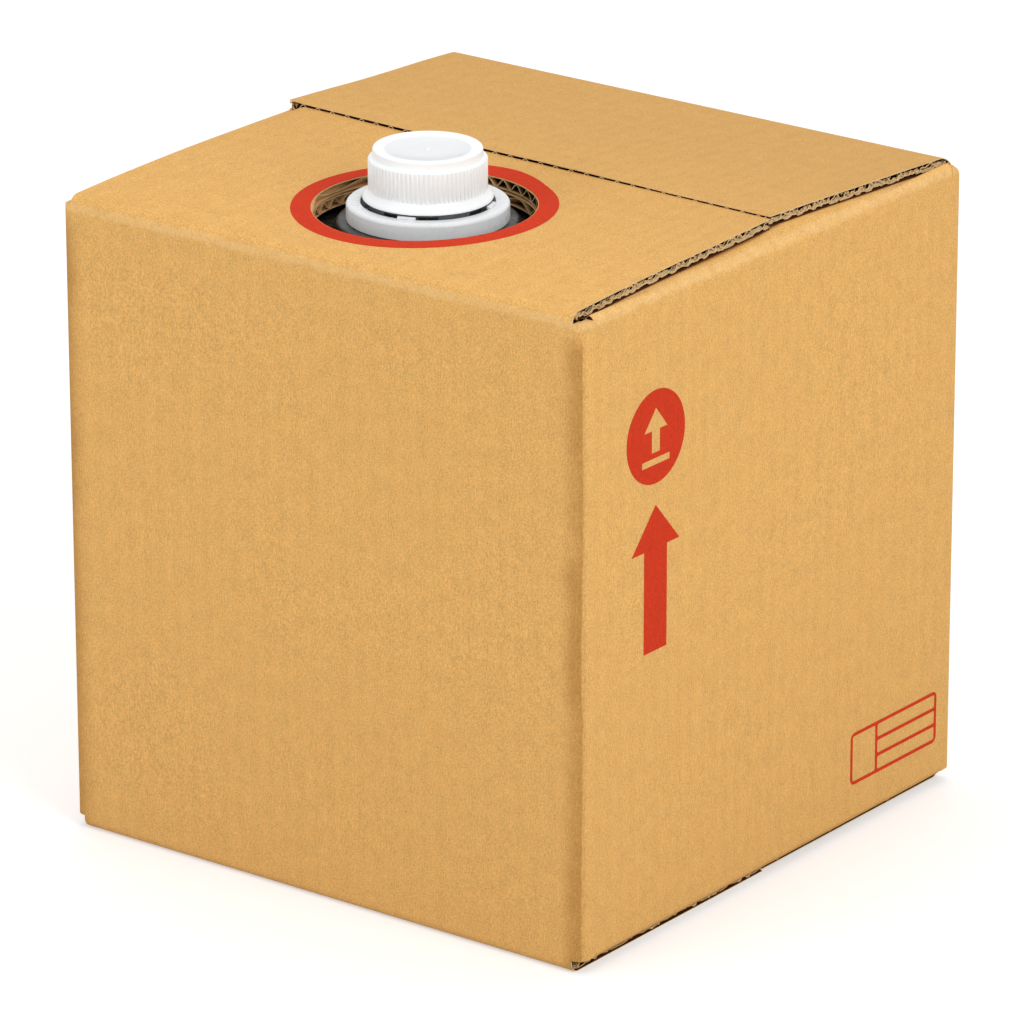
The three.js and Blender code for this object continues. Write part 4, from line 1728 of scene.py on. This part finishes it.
@dataclass
class WallMarks:
    """The red marks on the printed wall: a disc with a plain arrow, an upright arrow and a ruled stamp."""

    carton: Carton
    arrow_head: float = 19.4 * MM
    shaft_width: float = 16.5 * MM
    line: float = 1.6 * MM
    sign_rise: float = 13 * MM
    sign_head: tuple[float, float] = (17 * MM, 10 * MM)
    sign_shaft: tuple[float, float] = (6 * MM, 10 * MM)
    bar_half: float = 10 * MM
    bar_drops: tuple[float, float] = (12.5 * MM, 9.5 * MM)
    stamp_corner: float = 3 * MM
    cell_corner: float = 1 * MM
    side_cell: float = 18 * MM
    rows: int = 3

    def lay(self, piece: bpy.types.Object, node: str, palette: Palette) -> None:
        """Lays a flat mark, drawn as Y and Z, on the wall as a film of ink.

        Args:
            piece: The mark, flat in the XY plane.
            node: The CAD node that it stands for.
            palette: The object's materials.
        """
        face = self.carton.high.x
        raise_up(piece, INK)
        with editing(piece):
            bpy.ops.mesh.select_all(action="SELECT")
            bpy.ops.mesh.quads_convert_to_tris()
            slice_at(0, spread(-face, face, 10 * MM))
            slice_at(1, spread(0, self.carton.high.z, 10 * MM))

        def on_wall(place: Vector) -> Vector:
            """Stands a point of the flat mark up on the printed wall."""
            wall = self.carton.ripple(Vector((face, place.x, place.y)))
            return wall + Vector((place.z + INK / 2, 0, 0))

        shift(piece, on_wall)
        dress(piece, palette.ink)
        hand_over(piece, node)

    def arrow(self, name: str, tip: Vector, head: Vector, shaft: Vector) -> bpy.types.Object:
        """Draws an upright arrow.

        Args:
            name: The object's name.
            tip: The arrow's tip.
            head: Width and height of the head.
            shaft: Width and length of the shaft.

        Returns:
            The flat arrow.
        """
        neck = tip.y - head.y
        side = [(head.x / 2, neck), (shaft.x / 2, neck), (shaft.x / 2, neck - shaft.y)]
        left = [(tip.x - out, height) for out, height in side]
        right = [(tip.x + out, height) for out, height in reversed(side)]
        return drawn(name, [tuple(tip), *left, *right])

    def cut(self, piece: bpy.types.Object, cutter: bpy.types.Object) -> None:
        """Cuts one flat drawing out of another.

        Args:
            piece: The drawing that is cut.
            cutter: The drawing that is cut out.
        """
        for flat, height in ((piece, INK), (cutter, 3 * INK)):
            if max(vertex.co.z for vertex in flat.data.vertices) < INK / 2:
                raise_up(flat, height)
        shift(cutter, lambda place: place - Vector((0, 0, INK)))
        carve(piece, cutter)

    def flatten(self, piece: bpy.types.Object) -> None:
        """Turns a cut drawing back into a flat face.

        Args:
            piece: The cut drawing.
        """
        with editing(piece):
            pick(piece, Part.FACE, lambda place: place.z > INK / 4)
            bpy.ops.mesh.delete(type="FACE")
        shift(piece, lambda place: Vector((place.x, place.y, 0)))
        with editing(piece):
            make_outward()

    def build(self, palette: Palette) -> None:
        """Builds the three marks from the boxes of their CAD nodes.

        Args:
            palette: The object's materials.
        """
        low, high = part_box("print_arrow")
        middle = (low.y + high.y) / 2
        shaft = Vector((self.shaft_width, high.z - low.z - self.arrow_head))
        head = Vector((high.y - low.y, self.arrow_head))
        self.lay(self.arrow("arrow_ink", Vector((middle, high.z)), head, shaft), "print_arrow", palette)
        self.lay(self.disc(), "print_disc", palette)
        self.lay(self.stamp(), "print_stamp", palette)

    def disc(self) -> bpy.types.Object:
        """Draws the disc with a plain arrow over a bar left clear.

        Returns:
            The flat disc.
        """
        low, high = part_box("print_disc")
        middle = Vector(((low.y + high.y) / 2, (low.z + high.z) / 2))
        bpy.ops.mesh.primitive_circle_add(
            vertices=96,
            radius=(high.z - low.z) / 2,
            fill_type="NGON",
            location=(*middle, 0),
        )
        disc = settle(bpy.context.object, "disc_ink")
        tip = middle + Vector((0, self.sign_rise))
        self.cut(disc, self.arrow("pictogram", tip, Vector(self.sign_head), Vector(self.sign_shaft)))
        bar_low = middle - Vector((self.bar_half, self.bar_drops[0]))
        bar_high = middle + Vector((self.bar_half, -self.bar_drops[1]))
        self.cut(disc, slab("bar", (*bar_low, 0), (*bar_high, 3 * INK)))
        self.flatten(disc)
        return disc

    def stamp(self) -> bpy.types.Object:
        """Draws the stamp: a round-cornered frame with a side cell and three ruled rows.

        Returns:
            The flat stamp.
        """
        low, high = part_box("print_stamp")
        frame_box = slab("stamp_ink", (low.y, low.z, 0), (high.y, high.z, INK))
        round_edges(frame_box, self.stamp_corner, 5, lambda place: abs(place.z - INK / 2) < INK / 8)
        side = low.y + self.line + self.side_cell
        inner_low, inner_high = low.z + self.line, high.z - self.line
        cells = [(low.y + self.line, inner_low, side, inner_high)]
        row_height = (inner_high - inner_low - (self.rows - 1) * self.line) / self.rows
        for row in range(self.rows):
            foot = inner_low + row * (row_height + self.line)
            cells.append((side + self.line, foot, high.y - self.line, foot + row_height))
        for left, foot, right, top in cells:
            cell = slab("cell", (left, foot, 0), (right, top, 3 * INK))
            round_edges(cell, self.cell_corner, 3, lambda place: abs(place.z - 1.5 * INK) < INK / 4)
            self.cut(frame_box, cell)
        self.flatten(frame_box)
        return frame_box


@dataclass
class Container:
    """The blown film container with its stepped shoulder."""

    edge_radius: float = 18 * MM
    foot_radius: float = 56 * MM

    def build(self, palette: Palette) -> None:
        """Builds the container as one skin.

        Args:
            palette: The object's materials.
        """
        low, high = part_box("inner_container")
        top = high.z - SHOULDER_HEIGHT
        body = slab("container_film", low, (high.x, high.y, top))
        round_edges(body, self.edge_radius, 5, lambda place: True)
        fuse(body, self.shoulder(top, high.z))
        carve(body, cylinder("neck_cutter", COLLAR_BORE, 20 * MM, NECK + UP * high.z, 64))
        smooth(body, 30)
        dress(body, palette.film)
        hand_over(body, "inner_container")

    def shoulder(self, top: float, seat: float) -> bpy.types.Object:
        """Makes the round shoulder with its blown steps and soft creases.

        Args:
            top: Height of the container's flat top.
            seat: Height of the shoulder's own top.

        Returns:
            The shoulder.
        """
        low = top - 6 * MM
        profile = [
            (0, low),
            (self.foot_radius, low),
            (self.foot_radius, top - 0.5 * MM),
            (52 * MM, top + 0.15 * MM),
            (48 * MM, top + 0.5 * MM),
            (45.5 * MM, top + 1.1 * MM),
            (44.4 * MM, top + 1.4 * MM),
            (43.6 * MM, top + 1.5 * MM),
            (42.4 * MM, top + 1.7 * MM),
            (41.3 * MM, top + 2.6 * MM),
            (40.7 * MM, top + 4.2 * MM),
            *rounded((38.4 * MM, seat - 2 * MM), 2 * MM, 0, 90),
            (0, seat),
        ]
        shoulder = turned("shoulder", profile, 144)

        def crease(place: Vector) -> Vector:
            """Pulls the film into soft folds that run out from the neck.

            Args:
                place: A point of the shoulder.

            Returns:
                The point in its fold.
            """
            arm = Vector((place.x - NECK.x, place.y - NECK.y))
            share = blend_in(arm.length, 40.8 * MM, 46 * MM) * blend_in(place.z, low, top)
            turn = math.atan2(arm.y, arm.x)
            fold = noise.noise(Vector((3.4 * math.cos(turn), 3.4 * math.sin(turn), arm.length / (14 * MM))))
            return place + UP * share * 0.9 * MM * fold

        shift(shoulder, crease)
        return shoulder


@dataclass
class Neck:
    """The spout with its thread, the collar round it and the tamper band in the collar's groove."""

    tube_radius: float = 21.6 * MM
    tube_bore: float = 19 * MM
    flange: float = 1.6 * MM
    thread_pitch: float = 4 * MM
    thread_depth: float = 1.3 * MM
    thread_turns: float = 2.25
    thread_drop: float = 13 * MM
    collar_wall: float = 1.5 * MM
    groove_radius: float = 29.4 * MM
    window_half: float = 2.8 * MM
    window_depth: float = 2.2 * MM
    window_turns: tuple[float, ...] = (-92.5, -115.6)
    latch_turns: tuple[float, ...] = (-70.5,)
    stem_sides: tuple[float, float] = (-2.4 * MM, 2.9 * MM)
    head_sides: tuple[float, float] = (-4.3 * MM, 3.8 * MM)
    band_wall: float = 1.4 * MM
    slot_half: float = 4.4 * MM
    slot_turns: tuple[float, ...] = (-89, -52)

    def in_quarters(self, turns: Sequence[float]) -> list[float]:
        """Repeats turns about the neck, in degrees, in all four quarters."""
        return [turn + 90 * quarter for quarter in range(4) for turn in turns]

    def spout(self, palette: Palette) -> None:
        """Builds the spout's tube, flange and thread.

        Args:
            palette: The object's materials.
        """
        low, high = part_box("spout")
        radius, bore, lip = self.tube_radius, self.tube_bore, high.z
        tube = turned("spout_tube", [
            (bore, low.z),
            (high.x, low.z),
            (high.x, low.z + self.flange),
            (radius, low.z + self.flange),
            *rounded((radius - 0.8 * MM, lip - 0.8 * MM), 0.8 * MM, 0, 90),
            *rounded((bore + 0.5 * MM, lip - 0.5 * MM), 0.5 * MM, 90, 180),
        ])
        thread = self.thread(radius, lip - self.thread_drop)
        piece = gather("spout_tube", [tube, thread])
        smooth(piece, 35)
        dress(piece, palette.spout)
        hand_over(piece, "spout")

    def thread(self, radius: float, start: float) -> bpy.types.Object:
        """Winds the thread round the spout.

        Args:
            radius: Radius of the plain tube.
            start: Height of the thread's first turn.

        Returns:
            The thread.
        """
        half = 1.1 * MM
        profile = drawn("thread", [
            (radius - 0.3 * MM, -half),
            (radius + self.thread_depth, -half / 4),
            (radius + self.thread_depth, half / 4),
            (radius - 0.3 * MM, half),
        ])
        with editing(profile):
            pick(profile, Part.FACE, lambda place: True)
            bpy.ops.mesh.delete(type="ONLY_FACE")
        shift(profile, lambda place: Vector((place.x, 0, place.y)))
        modify(
            profile,
            "SCREW",
            angle=self.thread_turns * 2 * math.pi,
            screw_offset=self.thread_turns * self.thread_pitch,
            steps=162,
            render_steps=162,
            use_normal_calculate=True,
        )
        shift(profile, lambda place: place + NECK + UP * start)
        with editing(profile):
            pick_open_edges()
            bpy.ops.mesh.fill_holes(sides=6)
            make_outward()
        return profile

    def collar(self, palette: Palette) -> None:
        """Builds the collar with its windows and latches.

        Args:
            palette: The object's materials.
        """
        low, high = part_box("neck_collar")
        radius, wall, groove = high.x, self.collar_wall, self.groove_radius
        foot, top = low.z, high.z
        collar = turned("collar_ring", [
            (COLLAR_BORE, foot),
            (groove + wall, foot),
            (groove + wall, top - wall),
            (radius - wall, top - wall),
            (radius - wall, foot),
            (radius, foot),
            *rounded((radius - 1.7 * MM, top - 1.7 * MM), 1.7 * MM, 0, 90, 6),
            *rounded((groove + 0.4 * MM, top - 0.4 * MM), 0.4 * MM, 90, 180),
            (groove, foot + wall),
            (COLLAR_BORE, foot + wall),
        ], 192)
        for turn in self.in_quarters(self.window_turns):
            window = slab(
                "window",
                (groove - wall, -self.window_half, foot + 2 * wall),
                (groove + self.window_depth, self.window_half, top - 1.2 * MM),
            )
            shift(window, lambda place: self.round_neck(place, turn))
            carve(collar, window)
        latches = [self.latch(turn, foot, top) for turn in self.in_quarters(self.latch_turns)]
        collar = gather("collar_ring", [collar, *latches])
        smooth(collar, 35)
        dress(collar, palette.collar)
        hand_over(collar, "neck_collar")

    def latch(self, turn: float, foot: float, top: float) -> bpy.types.Object:
        """Makes one latch: a stem on the groove's wall with a wider head.

        Args:
            turn: Where it stands round the neck, in degrees.
            foot: Height of the collar's foot.
            top: Height of the collar's top.

        Returns:
            The latch.
        """
        groove, wall = self.groove_radius, self.collar_wall
        stem = slab(
            "latch",
            (groove - 1.2 * MM, self.stem_sides[0], foot + wall),
            (groove + wall / 3, self.stem_sides[1], top + 0.3 * MM),
        )
        head = slab(
            "latch_head",
            (groove - 1.4 * MM, self.head_sides[0], top - 0.5 * MM),
            (groove + wall / 3, self.head_sides[1], top + 0.9 * MM),
        )
        for block in (stem, head):
            modify(block, "BEVEL", width=0.3 * MM, segments=2)
        latch = gather("latch", [stem, head])
        shift(latch, lambda place: self.round_neck(place, turn))
        return latch

    def round_neck(self, place: Vector, turn: float) -> Vector:
        """Turns a point, drawn on the X axis, about the neck's axis."""
        return spin(turn) @ place + NECK

    def band(self, palette: Palette) -> None:
        """Builds the tamper band.

        Args:
            palette: The object's materials.
        """
        low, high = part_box("tamper_band")
        radius = high.x
        band = turned("band_ring", [
            (radius - self.band_wall, low.z),
            (radius, low.z),
            (radius, low.z + 2.2 * MM),
            (radius - 0.35 * MM, low.z + 2.6 * MM),
            (radius - 0.35 * MM, high.z - 2 * MM),
            (radius, high.z - 1.6 * MM),
            *rounded((radius - 0.4 * MM, high.z - 0.4 * MM), 0.4 * MM, 0, 90),
            (radius - self.band_wall, high.z),
        ])
        # Painted shade: the band's slots take the dark film, for the shadow in the windows under the cap's
        # flare.
        painted_shade_materials = (palette.band, palette.film)
        fill_slots(band, painted_shade_materials, 0)
        for turn in self.in_quarters(self.slot_turns):
            slot = slab(
                "band_slot",
                (radius - 0.9 * MM, -self.slot_half, low.z + 3 * MM),
                (radius + MM, self.slot_half, high.z - 0.4 * MM),
            )
            shift(slot, lambda place: self.round_neck(place, turn))
            fill_slots(slot, painted_shade_materials, 1)
            carve(band, slot)
        smooth(band, 35)
        hand_over(band, "tamper_band")


@dataclass
class Cap:
    """The ribbed screw cap with its flared foot and recessed top."""

    rib_count: int = 80
    skirt_radius: float = 25.7 * MM
    wall: float = 1.5 * MM
    crown_radius: float = 24.1 * MM

    def profile(self, low: float, high: float, flare: float) -> list[tuple[float, float]]:
        """Gives the cap's section, from the middle of its underside round to the middle of its top.

        Args:
            low: Height of the cap's foot.
            high: Height of its rim.
            flare: Radius of the foot.

        Returns:
            The section's points.
        """
        bore = self.skirt_radius - self.wall
        recess = high - 1.3 * MM
        return [
            (0, high - 3.2 * MM),
            (bore - MM, high - 3.2 * MM),
            (bore, high - 4.2 * MM),
            (bore, low + 5 * MM),
            (flare - 2.4 * MM, low + 1.2 * MM),
            (flare - 1.3 * MM, low + 0.1 * MM),
            *rounded((flare - 0.6 * MM, low + 0.6 * MM), 0.6 * MM, -80, 20),
            (flare - 0.2 * MM, low + 1.5 * MM),
            (flare - 0.9 * MM, low + 2.3 * MM),
            (flare - 1.9 * MM, low + 3.3 * MM),
            (flare - 2.7 * MM, low + 4.6 * MM),
            (flare - 3.15 * MM, low + 6.4 * MM),
            (self.skirt_radius + 0.1 * MM, low + 9 * MM),
            (self.skirt_radius, low + 16.2 * MM),
            *rounded((self.skirt_radius - 1.5 * MM, high - 5.6 * MM), 1.5 * MM, 5, 82, 5),
            (self.crown_radius + 0.25 * MM, high - 3.9 * MM),
            (self.crown_radius, high - 3.4 * MM),
            *rounded((self.crown_radius - 1.1 * MM, high - 1.1 * MM), 1.1 * MM, 0, 90, 5),
            (self.crown_radius - 2.6 * MM, high - 0.15 * MM),
            (self.crown_radius - 5.0 * MM, high - 0.75 * MM),
            (self.crown_radius - 5.8 * MM, recess),
            (9 * MM, recess + 0.1 * MM),
            (1.8 * MM, recess + 0.15 * MM),
            (1.4 * MM, recess + 0.75 * MM),
            (0, recess + 0.75 * MM),
        ]

    def ribs(self, low: float, high: float) -> list[bpy.types.Object]:
        """Models one grip rib and copies it round the skirt.

        Args:
            low: Height of the cap's foot.
            high: Height of its rim.

        Returns:
            The ribs, each with its own mesh.
        """
        rib = slab(
            "rib",
            (self.skirt_radius - 0.5 * MM, -0.55 * MM, low + 4.6 * MM),
            (self.skirt_radius + 0.42 * MM, 0.55 * MM, high - 4.9 * MM),
        )
        round_edges(rib, 0.36 * MM, 2, lambda place: place.x > self.skirt_radius + 0.4 * MM)
        smooth(rib, 60)
        ribs = []
        for index in range(self.rib_count):
            copy = rib.copy()
            copy.data = rib.data.copy()
            bpy.context.scene.collection.objects.link(copy)
            turn = spin(360 * index / self.rib_count)
            shift(copy, lambda place: turn @ place + NECK)
            ribs.append(copy)
        bpy.data.objects.remove(rib)
        return ribs

    def build(self, palette: Palette) -> None:
        """Builds the cap and dresses the seal below it.

        Args:
            palette: The object's materials.
        """
        low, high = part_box("screw_cap")
        shell = turned("cap_shell", self.profile(low.z, high.z, high.x), 160, closed=False)
        smooth(shell, 40)
        cap = gather("cap_shell", [shell, *self.ribs(low.z, high.z)])
        dress(cap, palette.cap)
        hand_over(cap, "screw_cap", "cap")
        dress(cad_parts["cap_seal"], palette.seal)


@dataclass
class Studio:
    """The floor, the lights and the camera."""

    camera_place: tuple[float, float, float] = (1.7901, -2.3663, 1.2147)
    camera_target: tuple[float, float, float] = (-0.0025, 0.0, 0.1398)
    camera_roll: float = -0.09
    focal_pixels: float = 7022.0
    picture_pixels: float = 1024.0
    sensor: float = 36.0
    sky: float = 0.62
    floor_tone: float = 0.72
    floor_lift: float = 0.4

    def camera(self) -> None:
        """Sets the camera where the photograph was taken from."""
        data = bpy.data.cameras.new("camera")
        data.sensor_width = self.sensor
        data.lens = self.focal_pixels * self.sensor / self.picture_pixels
        data.clip_end = 50
        camera = bpy.data.objects.new("camera", data)
        bpy.context.scene.collection.objects.link(camera)
        place, target = Vector(self.camera_place), Vector(self.camera_target)
        turn = (target - place).to_track_quat("-Z", "Y").to_matrix()
        roll = spin(self.camera_roll)
        camera.matrix_world = Matrix.Translation(place) @ (turn @ roll).to_4x4()
        bpy.context.scene.camera = camera

    def lamp(self, name: str, place: Sequence[float], size: float, power: float) -> None:
        """Adds a soft square lamp that faces the object.

        Args:
            name: The lamp's name.
            place: Where it hangs.
            size: The length of its sides.
            power: Its power in watts.
        """
        data = bpy.data.lights.new(name, "AREA")
        data.size = size
        data.energy = power
        lamp = bpy.data.objects.new(name, data)
        lamp.location = place
        aim = Vector((0, 0, 0.16)) - Vector(place)
        lamp.rotation_euler = aim.to_track_quat("-Z", "Y").to_euler()
        bpy.context.scene.collection.objects.link(lamp)

    def world(self) -> None:
        """Sets an even sky that looks white to the camera and in reflections."""
        world = bpy.data.worlds.new("studio_sky")
        bpy.context.scene.world = world
        world.use_nodes = True
        graph = Graph(world.node_tree)
        background = world.node_tree.nodes["Background"]
        strength = graph.add("Mix", graph.seen(), None, self.sky, 1.0).outputs[0]
        background.inputs["Color"].default_value = (1.0, 1.0, 1.0, 1.0)
        graph.feed(background.inputs["Strength"], strength)

    def floor(self) -> None:
        """Lays a wide pale floor that keeps the object's shadow."""
        bpy.ops.mesh.primitive_plane_add(size=30)
        floor = settle(bpy.context.object, "studio_floor")
        pale = (self.floor_tone, self.floor_tone, self.floor_tone, 1.0)
        material, graph, shader, _ = Finish("floor_paper", pale, 0.9, 0.1).start()
        shader.inputs["Base Color"].default_value = pale
        shader.inputs["Emission Color"].default_value = (1.0, 1.0, 1.0, 1.0)
        lift = graph.math("MULTIPLY", graph.seen(), self.floor_lift)
        graph.feed(shader.inputs["Emission Strength"], lift)
        floor.data.materials.append(material)

    def build(self) -> None:
        """Builds the studio."""
        bpy.context.scene.view_settings.view_transform = "Standard"
        self.camera()
        self.world()
        self.floor()
        self.lamp("key", (2.4, -0.6, 1.7), 1.6, 34)
        self.lamp("fill", (-1.1, -2.6, 1.3), 1.8, 22)
        self.lamp("top", (-0.4, 0.5, 2.6), 1.6, 14)


def main() -> None:
    """Builds the studio and every piece in order."""
    logging.basicConfig(level=logging.INFO, format="%(name)s: %(message)s")
    Studio().build()
    palette = Palette()
    carton = Carton(WALLS_BOX[0], WALLS_BOX[1])
    carton.build(palette)
    WallMarks(carton).build(palette)
    Container().build(palette)
    neck = Neck()
    neck.spout(palette)
    neck.collar(palette)
    neck.band(palette)
    Cap().build(palette)


if __name__ == "__main__":
    main()
